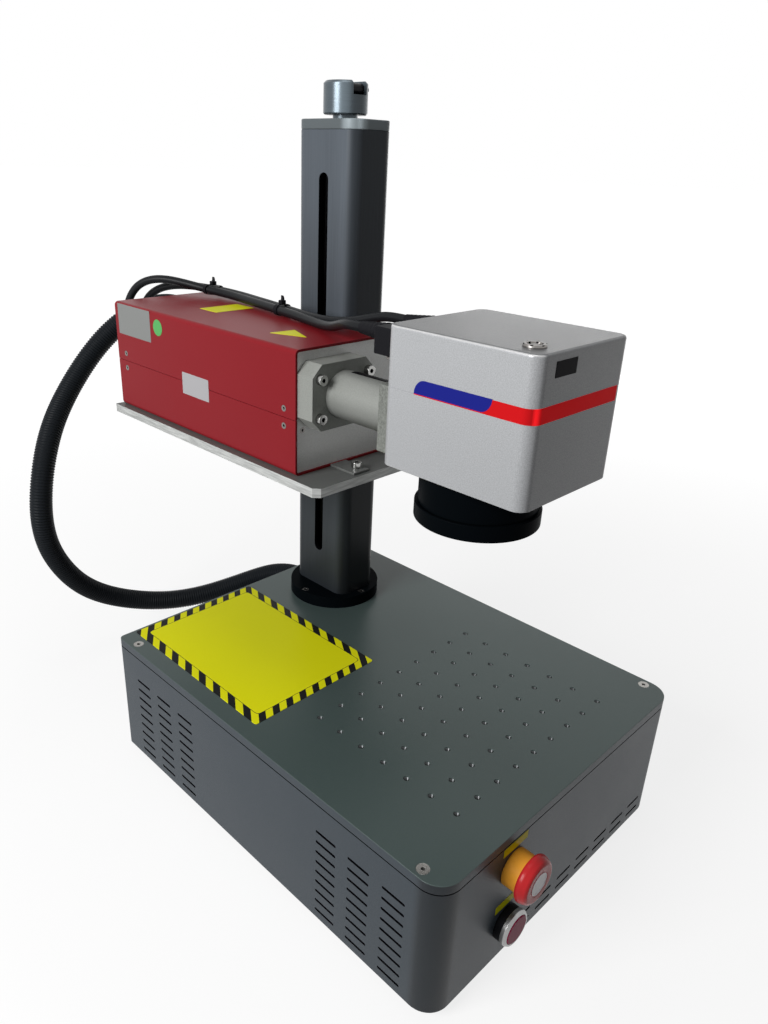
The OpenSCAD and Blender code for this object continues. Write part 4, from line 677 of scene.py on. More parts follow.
def new_panel_film(name):
    """Yellow film with a border of slanted black bars and a thin black line inside it: the
    distance to the rim is that of a rectangle with round corners, and the bars follow the
    fraction of x over one pitch less y over another."""
    material, tree, shader = new_material(name)
    where = vector_node(tree, "SUBTRACT", i0=place(tree), i1=tuple(in_row(PANEL)))[0]
    x, y = add_node(tree, "ShaderNodeSeparateXYZ", Vector=where).outputs[:2]
    across = math_node(tree, "SUBTRACT", PANEL_W / 2 * MM, math_node(tree, "ABSOLUTE", x))
    along = math_node(tree, "SUBTRACT", PANEL_D / 2 * MM, math_node(tree, "ABSOLUTE", y))
    rim = math_node(tree, "SMOOTH_MIN", across, along, 6 * MM)
    slant = math_node(tree, "SUBTRACT", math_node(tree, "DIVIDE", x, BAR_PITCH_X * MM),
                      math_node(tree, "DIVIDE", y, BAR_PITCH_Y * MM))
    bar = math_node(tree, "FRACT", math_node(tree, "ADD", slant, BAR_START))
    bars = math_node(tree, "GREATER_THAN", bar, 0.5)
    near = math_node(tree, "LESS_THAN", rim, 9.2 * MM)
    line = math_node(tree, "COMPARE", rim, 9.4 * MM, 0.25 * MM)
    black = math_node(tree, "MAXIMUM", math_node(tree, "MULTIPLY", bars, near), line)
    marks = use_group(tree, "Fine grain", Scale=500.0)
    film = use_group(tree, "Uneven tint", Color=(*bpy.context.scene.machine_colours.print, 1),
                     Mask=marks["Mask"], Grain=0.02, Clouds=0.04)
    mixed = add_node(tree, "ShaderNodeMix", {"data_type": "RGBA"}, i0=black, i6=film["Color"],
                     i7=(0.012, 0.012, 0.012, 1))
    gloss = use_group(tree, "Smudges", Scale=20.0, Low=0.3, High=0.4)
    set_inputs(tree, shader, Base_Color=mixed.outputs[2], Roughness=gloss["Value"], Specular_IOR_Level=0.06)
    return material


def look(key):
    """The material of a finish, made when it is first asked for."""
    if key == "glass":
        return bpy.data.materials.get("Lens glass") or new_glass("Lens glass")
    if key == "panel":
        return bpy.data.materials.get("Bordered film") or new_panel_film("Bordered film")
    name, colour, *values = FINISHES[key]
    if isinstance(colour, str):
        colour = getattr(bpy.context.scene.machine_colours, colour)
    return bpy.data.materials.get(name) or new_finish(name, colour, *values, bands=PAINTED_LIGHT_BANDS.get(key, ()))


# Sizes and colours


def millimetres(name, description, value):
    """A length that a user may change, held in metres."""
    return FloatProperty(name=name, description=description, default=value * MM, min=0,
                         subtype="DISTANCE", unit="LENGTH")


def colour_of(name, description, *value):
    """A colour that a user may change."""
    return FloatVectorProperty(name=name, description=description, default=value, min=0, max=1,
                               subtype="COLOR")


def power_of(name, description, value):
    """The power of a lamp that a user may change."""
    return FloatProperty(name=name, description=description, default=value, min=0, subtype="POWER")


class MACHINE_PG_sizes(bpy.types.PropertyGroup):
    """Sizes of the dressed pieces."""

    hose_diameter: millimetres("Hose diameter", "Outer diameter of the ribbed hose", 24)
    hose_groove: millimetres("Hose groove", "Depth of the grooves between the hose's ribs", 1.0)
    hose_ribs: IntProperty(name="Hose ribs", description="Number of ribs along the hose", default=275, min=50)
    cable_diameter: millimetres("Cable diameter", "Diameter of each scanner cable", 8)
    table_edge: millimetres("Table edge", "Width of the eased rim of the table plate", 0.6)
    hole_edge: millimetres("Work hole edge", "Width of the dark chamfer of each work hole", 0.6)
    case_edge: millimetres("Case edge", "Width of the eased edges of the case", 0.5)
    laser_edge: millimetres("Laser edge", "Width of the bright edges of the laser housing", 0.8)
    scan_fillet: millimetres("Scan head fillet", "Width of the round upper edge of the scan head", 2.4)
    thread_pitch: millimetres("Thread pitch", "Rise of the lead screw in one turn", 5)
    small_edge: millimetres("Small edge", "Width of the eased edges of the table's screws", 0.3)


class MACHINE_PG_colours(bpy.types.PropertyGroup):
    """Colours of the finishes."""

    case: colour_of("Case", "Textured paint of the base case", 0.036, 0.047, 0.058)
    table: colour_of("Table", "Paint of the work table", 0.062, 0.088, 0.084)
    column: colour_of("Column", "Anodised column tube", 0.101, 0.117, 0.136)
    knob: colour_of("Knob", "Gunmetal crank knob", 0.088, 0.110, 0.126)
    black_metal: colour_of("Black metal", "Anodised flange and lens", 0.002, 0.003, 0.004)
    aluminium: colour_of("Aluminium", "Blasted aluminium of the expander", 0.28, 0.29, 0.27)
    laser: colour_of("Laser", "Red anodised laser housing", 0.238, 0.014, 0.0195)
    laser_edge: colour_of("Laser edge", "Bright edges of the laser housing", 0.4, 0.054, 0.07)
    scan_head: colour_of("Scan head", "Silver paint of the scan head", 0.385, 0.393, 0.405)
    stripe: colour_of("Stripe", "Tape round the scan head", 0.62, 0.0095, 0.0125)
    tag: colour_of("Tag", "Blank tag on the scan head", 0.014, 0.019, 0.23)
    print: colour_of("Print", "Yellow of the blank panel and labels", 0.83, 0.815, 0.0085)
    stop_collar: colour_of("Stop collar", "Collar of the emergency stop", 0.95, 0.42, 0.045)
    stop_head: colour_of("Stop head", "Head of the emergency stop", 0.58, 0.024, 0.028)


class MACHINE_PG_studio(bpy.types.PropertyGroup):
    """Light of the plain studio."""

    key: power_of("Key lamp", "Power of the lamp on the left", 28)
    top: power_of("Top lamp", "Power of the lamp overhead", 7)
    fill: power_of("Fill lamp", "Power of the lamp at the front right", 0.3)
    side: power_of("Side lamp", "Power of the lamp on the right", 7)
    ambient: FloatProperty(name="Room light", description="Strength of the light from all sides",
                           default=0.08, min=0)
    floor: colour_of("Floor", "Pale floor", 0.19, 0.19, 0.19)


def size(key):
    """A length of the settings, in millimetres."""
    return getattr(bpy.context.scene.machine_sizes, key) / MM


# Routes of the cords, in millimetres

HOSE_LINE = [
    (13, 294.3, 422), (13, 318.3, 422), (13, 342.3, 422), (13, 366.3, 422), (6, 393, 416),
    (-10, 415, 403), (-33, 427, 383), (-62, 431, 353), (-93, 423, 321), (-118, 405, 299),
    (-138, 387, 275), (-152, 376, 244), (-158, 374, 208), (-153, 380, 172), (-140, 386, 140),
    (-121, 391, 109), (-97, 394, 84), (-66, 395, 63), (-33, 389, 49), (-1, 376, 43),
    (31, 360, 45), (62, 343, 53), (90, 323, 65), (109, 299, 78), (118, 270, 84),
    (118, 246, 84), (118, 222, 84), (118, 198, 84),
]
HOSE_MIDDLE = (-20, 375, 230)
RIB_STEPS = 5
CABLE_LINES = {
    "left": [
        (-50, 301, 400), (-50, 310, 400), (-50, 319, 400), (-50, 328, 400), (-50, 340, 404),
        (-48, 350, 416), (-44, 351, 433), (-38, 340, 451), (-27, 319, 459), (-13, 295, 456),
        (0, 272, 451), (7, 240, 449), (3, 200, 448), (-2, 160, 447.6), (-8, 120, 447.3),
        (-15, 86, 446.8), (-25, 57, 449), (-36, 35, 456), (-44, 20, 459.6), (-45, 6, 460),
        (-45, -1, 460), (-45, -8, 460), (-45, -15, 460),
    ],
    "right": [
        (-30, 301, 400), (-30, 310, 400), (-30, 319, 400), (-30, 328, 400), (-30, 339, 403),
        (-29, 348, 414), (-26, 350, 429), (-20, 339, 443), (-10, 321, 450), (1, 301, 451),
        (13, 280, 449.5), (18, 240, 448), (12, 200, 447.6), (7, 160, 447.3), (0, 122, 447),
        (-3, 90, 447), (0, 62, 449.5), (3, 40, 456), (5, 24, 460), (5, 8, 460),
        (5, 0, 460), (5, -8, 460), (5, -16, 460),
    ],
}
TIES = (268.0, 152.0)


def tie(a, b, radius):
    """A tie round two cables: a loop of two half circles and two straights about both, as a flat
    band, with a lock block on top and a tail that curves up."""
    middle, apart = (a + b) / 2, np.linalg.norm((b - a)[[0, 2]]) / 2
    loop = outline(2 * (radius + 1.0) + 2 * apart, 2 * (radius + 1.0), radius + 0.9, 8)
    tilt = math.atan2((b - a)[2], (b - a)[0])
    turn = np.array([[math.cos(tilt), -math.sin(tilt)], [math.sin(tilt), math.cos(tilt)]])
    rings = [np.insert((loop * share) @ turn.T, 1, y, 1)
             for share, y in ((1.0, -2.2), (1.0, 2.2), (0.9, 2.2), (0.9, -2.2))]
    top = middle + np.array([0.0, 0.0, radius + 0.6])
    t = np.linspace(0, 1, 9)[:, None]
    centre = top + np.concatenate([2.5 * t, 3.0 * t**2, 3 + 4.5 * t], 1)
    half = np.array([[0.5, -2.0, 0.0], [0.5, 2.0, 0.0], [-0.5, 2.0, 0.0], [-0.5, -2.0, 0.0]])
    narrow = np.insert(np.ones((9, 2)), 1, 1 - 0.4 * t[:, 0] ** 3, 1)
    tail = centre[:, None] + half[None] * narrow[:, None]
    return [np.stack(rings) + middle, box_grid((5.5, 5.0, 4.0), top, 0.6), tail]


# Operators


class MACHINE_OT_camera(bpy.types.Operator):
    """Sets the camera where the photograph was taken"""

    bl_idname = "machine.camera"
    bl_label = "Camera"

    def execute(self, context):
        data = bpy.data.cameras.new("Camera")
        camera = put_in_scene("Camera", data)
        data.sensor_fit, data.sensor_width, data.lens = "AUTO", 36, CAMERA_LENS
        data.shift_x, data.shift_y = CAMERA_SHIFT
        data.clip_start, data.clip_end = 0.01, 50
        right, down, ahead = np.array(CAMERA_TURN)
        columns = np.stack([right, -down, -ahead, CAMERA_PLACE], 1)
        camera.matrix_world = Matrix([*columns.tolist(), [0, 0, 0, 1]])
        context.scene.camera = camera
        context.scene.view_settings.view_transform = "Standard"
        return {"FINISHED"}


class MACHINE_OT_hose(bpy.types.Operator):
    """Carries the ribbed hose from the laser to the base"""

    bl_idname = "machine.hose"
    bl_label = "Ribbed hose"

    def execute(self, context):
        sizes = context.scene.machine_sizes
        line = spline(HOSE_LINE, sizes.hose_ribs * RIB_STEPS)
        # radius = crest - groove (half of 1 - cos of the way along a rib), to the power 1.5
        phase = 2 * math.pi * np.arange(len(line)) / RIB_STEPS
        dip = (0.5 - 0.5 * np.cos(phase)) ** 1.5
        radius = size("hose_diameter") / 2 - size("hose_groove") * dip[:, None]
        away = (line - np.array(HOSE_MIDDLE)) * (1, 0.15, 1)
        hose = make("ribbed_hose", tube(line, radius, 24, away), "hose", None,
                    ("hose",), angle=75)
        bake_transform(hose)
        return {"FINISHED"}


class MACHINE_OT_cables(bpy.types.Operator):
    """Lays the two scanner cables over the laser, with their ties"""

    bl_idname = "machine.cables"
    bl_label = "Scanner cables"

    def execute(self, context):
        sizes, radius = context.scene.machine_sizes, size("cable_diameter") / 2
        lines = {side: spline(points, 220) for side, points in CABLE_LINES.items()}
        for side, line in lines.items():
            away = np.tile([1.0, 0.0, 0.0], (len(line), 1))
            cable = make("cable_" + side, tube(line, radius - 0.02, 20, away), "cable", "head",
                         ("scanner_cables",), angle=60)
        bands = []
        for y in TIES:
            # the place nearest to y, on the stretch that lies on the laser
            held = [line[np.argmin(abs(line[:, 1] - y) + 400 * (line[:, 1] > 300))]
                    for line in lines.values()]
            bands += tie(*held, radius)
        make("cable_ties", bands, "black_plastic", "head",
             wrap=[True, False, False] * len(TIES), angle=40)
        return {"FINISHED"}


class MACHINE_OT_table(bpy.types.Operator):
    """Dresses the work table, its holes, the blank panel and the screws"""

    bl_idname = "machine.table"
    bl_label = "Work table"

    def execute(self, context):
        def hole(edge):
            """An edge of the work field's rims on the top face."""
            x, y, z = ends_of(edge).mean(0) - BASE_SHIFT
            return (z > TABLE_TOP - 0.1 and HOLES_X[0] - 6 < x < HOLES_X[-1] + 6
                    and HOLES_Y[0] - 6 < y < HOLES_Y[-1] + 6)

        def rim(edge):
            """An edge of the top face's outline."""
            return ends_of(edge)[:, 2].min() > TABLE_TOP - 0.1 and not hole(edge)

        table = softened(
            "table_plate", "table", 0.3, 1,
            rules=[(size("hole_edge"), 1, 1, hole), (size("table_edge"), 2, 2, rim)],
            test=lambda edge: ends_of(edge)[:, 2].max() < TABLE_TOP - 1,
        )
        # the chamfers of the work holes are painted with shade
        table.data.materials[1] = look("dark")
        # the top rim gets a painted highlight
        table.data.materials.append(look("table_edge"))
        # the rim is painted with the case
        repaint(table, "case", lambda at, out: (abs(out[:, 2]) < 0.2) & (depth_in(at, **CASE) < 4))
        # each thread is a tube whose radius waves four times on its way down the hole
        down = np.linspace(0, 1, 9)
        top, deep = TABLE_TOP - 0.8, 5.0
        inner = np.stack([2.2 + 0.26 * np.cos(down * 8 * math.pi), top - deep * down], 1)
        ring = turned(np.concatenate([inner, [(2.5, top - deep), (2.5, top)]]), (0, 0, 0), sides=16)
        threads = [ring + np.array([x, y, 0.0]) for x in HOLES_X for y in HOLES_Y]
        make("hole_threads", threads, "tread", "base", wrap=True, angle=60)
        film = [(0, TABLE_TOP), (0, TABLE_TOP + 0.3), (0.12, TABLE_TOP + 0.4)]
        make("bordered_panel", slab(PANEL_W, PANEL_D, 2.5, film, PANEL), "panel", "base",
             ("safety_panel",))
        # the key socket of each table screw gets painted shade
        paint_socket_shade(softened("table_screws", "screw", size("small_edge")), "socket", "up", 1.6)
        return {"FINISHED"}


class MACHINE_OT_case(bpy.types.Operator):
    """Dresses the folded case, its feet and floor"""

    bl_idname = "machine.case"
    bl_label = "Base case"

    def execute(self, context):
        def slot(edge):
            """An edge of the vents, between the lips."""
            return VENTS_LOW < ends_of(edge)[:, 2].mean() < VENTS_HIGH

        case = softened("case_shell", "case", size("case_edge"), rules=[(0.12, 1, 0, slot)],
                        test=lambda edge: not slot(edge))
        # painted shade on every face deeper than the case's outer skin, in the vents and inside
        repaint(case, "dark", lambda at, out: depth_in(at, **CASE) > 0.6)
        soften_all(("rubber_feet", "rubber", 0.8), ("floor_plate", "zinc", 0.3, 1),
                   ("base_screws", "black_steel", 0.25, 1))
        return {"FINISHED"}


class MACHINE_OT_controls(bpy.types.Operator):
    """Makes the emergency stop, the start button and their blank labels"""

    bl_idname = "machine.controls"
    bl_label = "Stop and start controls"

    def execute(self, context):
        soften_all(("stop_collar", "stop_orange", 0.7, 3), ("stop_stem", "bright_steel", 0.3))
        # the head's skirt hangs over the collar, its rim swells forward and its face is recessed
        head = eased([(0, 18.6), (15.9, 18.6), (15.9, 13.5), (18.3, 13.5), (19.5, 15.2), (19.2, 18.0),
                      (17.6, 21.8), (15.6, 23.3), (11, 23.1), (9.8, 22.7), (0, 22.7)], 0.8)
        make("stop_head_turned", turned(head, STOP, "front", 72), "stop_red", "stop_cap",
             ("stop_head",))
        disc = eased([(0, 22.6), (9.4, 22.6), (9.4, 23.2), (8.8, 23.2), (8.6, 22.95), (0, 22.95)], 0.12)
        make("stop_disc", turned(disc, STOP, "front", 64), "disc", "stop_cap")
        softened("button_collar", "black_plastic", 0.5)
        bezel = eased([(12.3, 6.2), (15.3, 6.2), (15.3, 9.4), (13.9, 11.5), (12.7, 11.5), (12.3, 11.0)],
                      0.35, 3, True)
        make("button_bezel_turned", turned(bezel, START, "front", 72), "satin_steel", "base",
             ("button_bezel",), wrap=True)
        soften_all(("button_plunger", "button", 0.8, 3), ("contact_blocks", "black_plastic", 0.4))
        labels = [box_grid((30, 7.5, 0.2), (x, y, z + above), 0.08, "front")
                  for (x, y, z), above in ((STOP, 21.45), (START, 21.25))]
        make("blank_labels", labels, "print", "base", ("control_labels",))
        return {"FINISHED"}


class MACHINE_OT_column(bpy.types.Operator):
    """Dresses the column, its flange, cap, guide rods and lead screw"""

    bl_idname = "machine.column"
    bl_label = "Column"

    def execute(self, context):
        softened("column_flange", "black_metal", 0.8)
        # the key socket of each column screw gets painted shade
        paint_socket_shade(softened("column_screws", "dull_steel", 0.25, 1), "dark", "up", 1.8)
        column = softened("column_tube", "column", 0.3, 1)
        # painted shade on every face inside the tube's outer skin, in its slots and inside
        repaint(column, "dark", lambda at, out: depth_in(at, **TUBE) > 0.5)
        # the cap's eased edges get a painted highlight
        soften_all(("column_cap", "cap", 1.0, 2, "column_edge"), ("guide_rods", "oiled", 0.3, 1),
                   ("screw_bearings", "bright_steel", 0.3, 1))
        pitch, low, high = size("thread_pitch"), 148, 594

        def thread(height, angle):
            """Root over crest by how far the height is from the nearest turn of the helix."""
            phase = (height / pitch - angle / (2 * math.pi)) % 1
            inside = (height > low - 0.5) & (height < high + 0.5)
            return np.where(inside, 1 - 0.11 * np.clip(2.4 * (1 - abs(2 * phase - 1)) - 0.7, 0, 1), 1.0)

        rows = np.linspace(low, high, int((high - low) / pitch) * 8 + 1)
        shaft = [(5, 138.5), (5, 143.9), (7, 144.3), (7, 147)] + [(7, z) for z in rows]
        shaft += [(7, 596), (7, 597.8), (5, 598.2), (5, 620.5)]
        make("threaded_screw", turned(shaft, COLUMN, "up", 24, thread), "oiled", "screw",
             ("lead_screw",), angle=50)
        return {"FINISHED"}


class MACHINE_OT_crank(bpy.types.Operator):
    """Dresses the crank knob with its folding bar and pin"""

    bl_idname = "machine.crank"
    bl_label = "Crank"

    def execute(self, context):
        # the knob's eased edges get a painted highlight
        soften_all(("hand_knob", "gunmetal", 0.9, 3, "column_edge"), ("folding_handle", "black_satin", 0.7))
        # the pin's left end follows the knob's round wall and fills its hole, and its right end shows
        turn = np.linspace(0, 2 * math.pi, 32, endpoint=False)
        rows = []
        for radius, end in ((0, None), (1.2, None), (2.25, None), (2.25, -12), (2.0, -11.9), (2.0, 16.0),
                            (1.6, 16.4), (0, 16.4)):
            y, z = PIN_Y + radius * np.cos(turn), PIN_Z + radius * np.sin(turn)
            x = -np.sqrt(KNOB_RADIUS**2 - y**2) if end is None else np.full(32, float(end))
            rows.append(np.stack([x, y, z], 1) + COLUMN)
        make("crank_pin", np.stack(rows), "gunmetal", BODY_OF["handle_pin"],
             ("handle_pin",))
        return {"FINISHED"}


class MACHINE_OT_shelf(bpy.types.Operator):
    """Dresses the shelf plate, its brackets and the nut block"""

    bl_idname = "machine.shelf"
    bl_label = "Shelf"

    def execute(self, context):
        shelf = softened("shelf_plate", "raw", 0.7, 2, "worn", angle=50)
        repaint(shelf, "sawn", lambda at, out: abs(out[:, 2]) < 0.3)
        soften_all(("side_brackets", "column", 0.8), ("nut_block", "column", 0.6),
                   ("shelf_screws", "black_steel", 0.25, 1))
        return {"FINISHED"}


class MACHINE_OT_laser(bpy.types.Operator):
    """Dresses the laser housing, its end plates, labels and feet"""

    bl_idname = "machine.laser"
    bl_label = "Laser"

    def execute(self, context):
        edge = size("laser_edge")
        soften_all(("laser_shell_upper", "red", edge, 3, "red_edge"),
                   ("laser_shell_lower", "red", edge, 3, "red_edge"),
                   ("laser_front_plate", "plate", 0.4, 2, "worn"), ("laser_rear_plate", "black_metal", 0.4))
        screws = softened("laser_screws", "dull_steel", 0.2, 1)
        # each laser screw's key socket gets painted shade
        # screws further than this from the laser's middle are in its side walls
        beside = 51
        for axis, where in (
            ("left", lambda at: at[:, 0] - LASER_MIDDLE < -beside),
            ("right", lambda at: at[:, 0] - LASER_MIDDLE > beside),
            ("front", lambda at: (at[:, 1] < 42) & (abs(at[:, 0] - LASER_MIDDLE) < beside)),
            ("back", lambda at: (at[:, 1] > 297) & (abs(at[:, 0] - LASER_MIDDLE) < beside)),
        ):
            paint_socket_shade(screws, "dark", axis, 1.3, where)
        soften_all(("laser_feet", "raw", 0.5), ("laser_core", "raw", 0.4, 1))
        film = [(0, 0), (0, 0.12), (0.1, 0.2)]
        triangle = eased([(-59, 96), (-34, 93), (-46, 64)], 1.0, 3, True)
        dot = [(0, 0), (7.5, 0), (7.5, 0.12), (7.4, 0.2), (0, 0.2)]
        for name, finish, grid, slot in (
            ("silver_label", "label", slab(58, 29, 0.6, film, (LASER_LEFT, 271, 426.5), "left", 5),
             "blasted_aluminium"),
            ("yellow_patch", "print", slab(44, 27, 0.6, film, (-18, 211, LASER_TOP), "up", 5),
             "yellow_print"),
            ("triangle_patch", "print", lofted([triangle] * 2, (0, 0.2), (0, 0, LASER_TOP)), "yellow_print"),
            ("white_label", "white", slab(41, 20, 0.8, film, (LASER_LEFT, 171.5, 384.5), "left", 5),
             "yellow_print"),
            ("green_dot", "green", turned(dot, (LASER_LEFT, 229, 428), "left", 40), "yellow_print"),
        ):
            make(name, grid, finish, "head")
        return {"FINISHED"}


class MACHINE_OT_expander(bpy.types.Operator):
    """Dresses the beam expander between the laser and the scan head"""

    bl_idname = "machine.expander"
    bl_label = "Beam expander"

    def execute(self, context):
        softened("expander_flange", "blasted", 0.6, 2, "rubbed")
        screws = softened("cap_screws", "bright_steel", 0.4)
        # each cap screw's key socket gets painted shade
        # below this height stand the screws of the laser's feet, and above it lie the flange's
        feet_end = 350
        paint_socket_shade(screws, "dark", "up", 2.3, lambda at: at[:, 2] < feet_end)
        paint_socket_shade(screws, "dark", "front", 2.3, lambda at: at[:, 2] > feet_end)
        soften_all(("expander_tube", "tube", 0.6), ("adapter_plate", "adapter", 0.8, 2, "rubbed"))
        # a blank black film lies on the top of the tube near the scan head, an arc of its wall
        angle = np.radians(np.linspace(62, 96, 15))
        ring = [np.stack([BEAM_X + r * np.cos(angle), np.full(15, y), BEAM_Z + r * np.sin(angle)], -1)
                for r, y in ((19.42, -44), (19.42, 6), (19.62, 6), (19.62, -44))]
        make("tube_band", np.stack(ring, 1), "black_film", "head")
        return {"FINISHED"}


class MACHINE_OT_scan_head(bpy.types.Operator):
    """Makes the scan head's cover, stripe, tags, plug and cable hoods"""

    bl_idname = "machine.scan_head"
    bl_label = "Scan head"

    def execute(self, context):
        softened("scanner_body", "silver", 0.8)
        # the cover is a hood: in at the top, down the inner wall, under the rim, up and over
        wall, inside, ceiling = 3, 30, 472.6
        corner = eased([(0, SCAN_RIM), (0, SCAN_TOP), (inside, SCAN_TOP)], size("scan_fillet"), 7)
        profile = [(inside, ceiling), (wall, ceiling), (wall, SCAN_RIM), *corner.tolist()]
        hood = make("scanner_hood", slab(SCAN_W, SCAN_D, SCAN_CORNER, profile, (*SCAN, 0), steps=10),
                    "silver", "head", ("scanner_cover",), angle=50)
        # a painted highlight along the left upper edge and round the corner, on the faces that turn up and to
        # the left
        repaint(hood, "rubbed", lambda at, out: (at[:, 2] > 440) & (out[:, 2] > 0.35)
                & (out[:, 2] < 0.85) & (out[:, 0] < -0.30))
        # the stripe follows the outline from the tag, round the front left corner, to the right
        left, front, tag_rear, tag_front = SCAN_LEFT - 0.025, SCAN_FRONT - 0.025, -83.5, -138.0
        bend = (outline(SCAN_W + 0.05, SCAN_D + 0.05, SCAN_CORNER + 0.02, 10) + SCAN)[22:33]
        stripe = np.concatenate([[(left, tag_front)], bend, [(17.0, front)]])
        make("red_stripe", ribbon(stripe, TAPE_LOW, TAPE_HIGH, 0.1, SCAN), "stripe", "head")
        under = np.array([(left, tag_rear), (left, tag_front)])
        make("red_line", ribbon(under, TAPE_LOW, TAPE_LOW + 0.8, 0.1, SCAN), "stripe", "head")
        # the tag is a bar whose rear upper and front lower ends are quarter ellipses
        t = np.linspace(0, 1, 10)[:, None] * math.pi / 2
        quarter = np.concatenate([9 * np.cos(t), 10 * np.sin(t)], 1)
        ends = np.concatenate([quarter + (tag_rear - 9, 433.4), (tag_front - 0.5, 443.4) - quarter])
        middle = ends.mean(0)
        shapes = [middle + (ends - middle) * share for share in (1, 1, 0.995)]
        make("blue_tag", lofted(shapes, (0, 0.12, 0.22), (SCAN_LEFT, 0, 0), "left"), "blue", "head")
        film = [(0, 0), (0, 0.12), (0.1, 0.22)]
        make("black_tag", slab(23.5, 10.2, 0.4, film, (-50.7, SCAN_FRONT, 464.9), "front", 3), "black_film",
             "head")
        # a raised ring round a sunk floor with a small hub, and six notches across the ring drawn as black
        # blocks of painted shade
        plug = eased([(0, 475.4), (7.5, 475.4), (7.5, 476.3), (6.9, 477.5), (5.0, 477.5), (4.6, 476.2),
                      (2.9, 476.2), (2.5, 477.0), (0, 477.0)], 0.25)
        make("coin_plug", turned(plug, PLUG, "up", 48), "dull_steel", "head",
             ("top_plug",))
        notches = []
        for turn in np.arange(6) * math.pi / 3 + 0.3:
            bar = outline(2.6, 1.7, 0.2, 2) + np.array([5.9, 0])
            bar = bar @ np.array([[math.cos(turn), math.sin(turn)], [-math.sin(turn), math.cos(turn)]])
            notches.append(lofted([bar, bar], (476.4, 477.49), PLUG))
        # a black disc of painted shade on the sunk floor
        floor = [(0, 476.0), (4.7, 476.0), (4.7, 476.3), (2.8, 476.3), (2.8, 476.25), (0, 476.25)]
        notches.append(turned(floor, PLUG, "up", 32))
        make("plug_notches", notches, "dark", "head")
        softened("scanner_plugs", "black_plastic", 1.2, 3)
        along = np.linspace(0, 1, 25)
        ridge = 0.35 * (np.cos(along * 12 * math.pi) > 0)
        relief = np.stack([7.2 - 2.6 * along + ridge * (1 - along), -25 + 27 * along], 1)
        relief = np.concatenate([[(4.05, -25)], relief, [(4.05, 2)]])
        make("cable_reliefs", [turned(relief, (x, 0, CABLES_Z), "back", 24) for x in CABLES_X],
             "black_plastic", "head", wrap=True, angle=40)
        return {"FINISHED"}


class MACHINE_OT_lens(bpy.types.Operator):
    """Makes the focusing lens below the scan head"""

    bl_idname = "machine.lens"
    bl_label = "Focusing lens"

    def execute(self, context):
        soften_all(("lens_barrel", "black_metal", 0.6), ("lens_ring", "black_metal", 0.8, 3),
                   ("optics_glass", "glass", 0.4))
        return {"FINISHED"}


class MACHINE_OT_rear(bpy.types.Operator):
    """Dresses the glands, the fan, the mains inlet and its switch"""

    bl_idname = "machine.rear"
    bl_label = "Rear fittings"

    def execute(self, context):
        for node in ("base_gland", "laser_gland", "fan_frame", "fan_rotor", "mains_inlet"):
            softened(node, "black_plastic", 0.5)
        softened("rocker", "switch", 0.5)
        return {"FINISHED"}


class MACHINE_OT_inside(bpy.types.Operator):
    """Finishes the pieces inside the base and the scan head"""

    bl_idname = "machine.inside"
    bl_label = "Inside pieces"

    def execute(self, context):
        for node, finish in (("power_supply", "zinc"), ("control_board", "board"),
                             ("scan_motors", "motor"), ("x_mirror", "mirror"), ("y_mirror", "mirror")):
            softened(node, finish, 0.2, 1)
        return {"FINISHED"}


def background_rays(tree):
    """1 for rays from the camera, off gloss or through glass, and 0 for light that falls."""
    path = add_node(tree, "ShaderNodeLightPath").outputs
    first = math_node(tree, "MAXIMUM", path["Is Camera Ray"], path["Is Glossy Ray"])
    return math_node(tree, "MAXIMUM", first, path["Is Transmission Ray"])


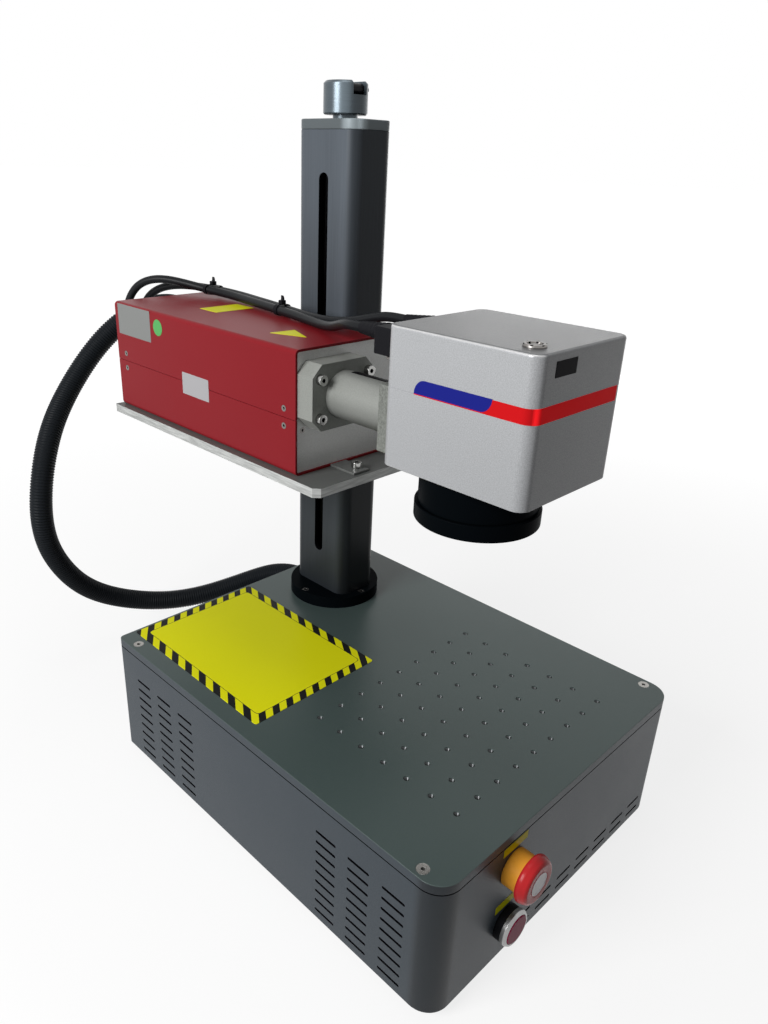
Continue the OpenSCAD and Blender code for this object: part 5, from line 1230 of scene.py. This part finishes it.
class MACHINE_OT_stage(bpy.types.Operator):
    """Sets the pale floor, the soft lamps and the white room"""

    bl_idname = "machine.stage"
    bl_label = "Studio"

    def execute(self, context):
        studio = context.scene.machine_studio
        mesh = bpy.data.meshes.new("floor")
        mesh.from_pydata([(-30, -30, 0), (30, -30, 0), (30, 30, 0), (-30, 30, 0)], [], [(0, 1, 2, 3)])
        floor = put_in_scene("floor", mesh)
        material = bpy.data.materials.new("Pale floor")
        material.use_nodes = True
        tree = material.node_tree
        tree.nodes.clear()
        # the glow that rays of the background see grows from under the machine outwards
        away = vector_node(tree, "LENGTH", i0=place(tree))["Value"]
        level = math_node(tree, "MULTIPLY", background_rays(tree), spread(tree, away, 0.35, 1.6, 0.82, 1.0))
        paint = add_node(tree, "ShaderNodeBsdfDiffuse", Color=(*studio.floor, 1))
        glow = add_node(tree, "ShaderNodeEmission", Color=(1, 1, 1, 1), Strength=level)
        both = add_node(tree, "ShaderNodeAddShader", i0=paint.outputs[0], i1=glow.outputs[0])
        add_node(tree, "ShaderNodeOutputMaterial", Surface=both.outputs[0])
        mesh.materials.append(material)
        world = bpy.data.worlds.new("White room")
        world.use_nodes = True
        context.scene.world = world
        tree = world.node_tree
        strength = spread(tree, background_rays(tree), 0, 1, studio.ambient, 1.0)
        set_inputs(tree, tree.nodes["Background"], Color=(1, 1, 1, 1), Strength=strength)
        for name, power, width, where in (
            ("key", studio.key, 0.75, (-1.5, 0.1, 1.0)),
            ("top", studio.top, 1.0, (0.0, 0.1, 3.0)),
            ("fill", studio.fill, 1.0, (0.9, -1.5, 0.9)),
            ("side", studio.side, 1.0, (1.8, 0.7, 0.15)),
        ):
            data = bpy.data.lights.new(name, "AREA")
            data.energy, data.size, data.shape = power, width, "SQUARE"
            lamp = put_in_scene(name, data)
            lamp.location = where
            towards = Vector((0, 0, 0.3)) - lamp.location
            lamp.rotation_euler = towards.to_track_quat("-Z", "Y").to_euler()
        return {"FINISHED"}


STEPS = (
    MACHINE_OT_camera, MACHINE_OT_hose, MACHINE_OT_cables, MACHINE_OT_table, MACHINE_OT_case,
    MACHINE_OT_controls, MACHINE_OT_column, MACHINE_OT_crank, MACHINE_OT_shelf, MACHINE_OT_laser,
    MACHINE_OT_expander, MACHINE_OT_scan_head, MACHINE_OT_lens, MACHINE_OT_rear, MACHINE_OT_inside,
    MACHINE_OT_stage,
)


class MACHINE_PT_panel(bpy.types.Panel):
    """Lists the sizes, the colours and the steps"""

    bl_label = "Laser marking machine"
    bl_idname = "MACHINE_PT_panel"
    bl_space_type = "VIEW_3D"
    bl_region_type = "UI"
    bl_category = "Marking machine"

    def draw(self, context):
        column = self.layout.column()
        for group in ("machine_sizes", "machine_colours", "machine_studio"):
            settings = getattr(context.scene, group)
            for key in settings.bl_rna.properties.keys():
                if key not in ("rna_type", "name"):
                    column.prop(settings, key)
        for step in STEPS:
            column.operator(step.bl_idname)


CLASSES = (MACHINE_PG_sizes, MACHINE_PG_colours, MACHINE_PG_studio) + STEPS + (MACHINE_PT_panel,)


def register():
    """Registers the classes and hangs their settings on the scene."""
    for cls in CLASSES:
        bpy.utils.register_class(cls)
    bpy.types.Scene.machine_sizes = PointerProperty(type=MACHINE_PG_sizes)
    bpy.types.Scene.machine_colours = PointerProperty(type=MACHINE_PG_colours)
    bpy.types.Scene.machine_studio = PointerProperty(type=MACHINE_PG_studio)


def unregister():
    """Takes the settings and the classes away again."""
    for name in ("machine_sizes", "machine_colours", "machine_studio"):
        delattr(bpy.types.Scene, name)
    for cls in reversed(CLASSES):
        bpy.utils.unregister_class(cls)


def main():
    """Makes the machine step by step."""
    register()
    for step in STEPS:
        group, name = step.bl_idname.split(".")
        getattr(getattr(bpy.ops, group), name)()


if __name__ == "__main__":
    main()
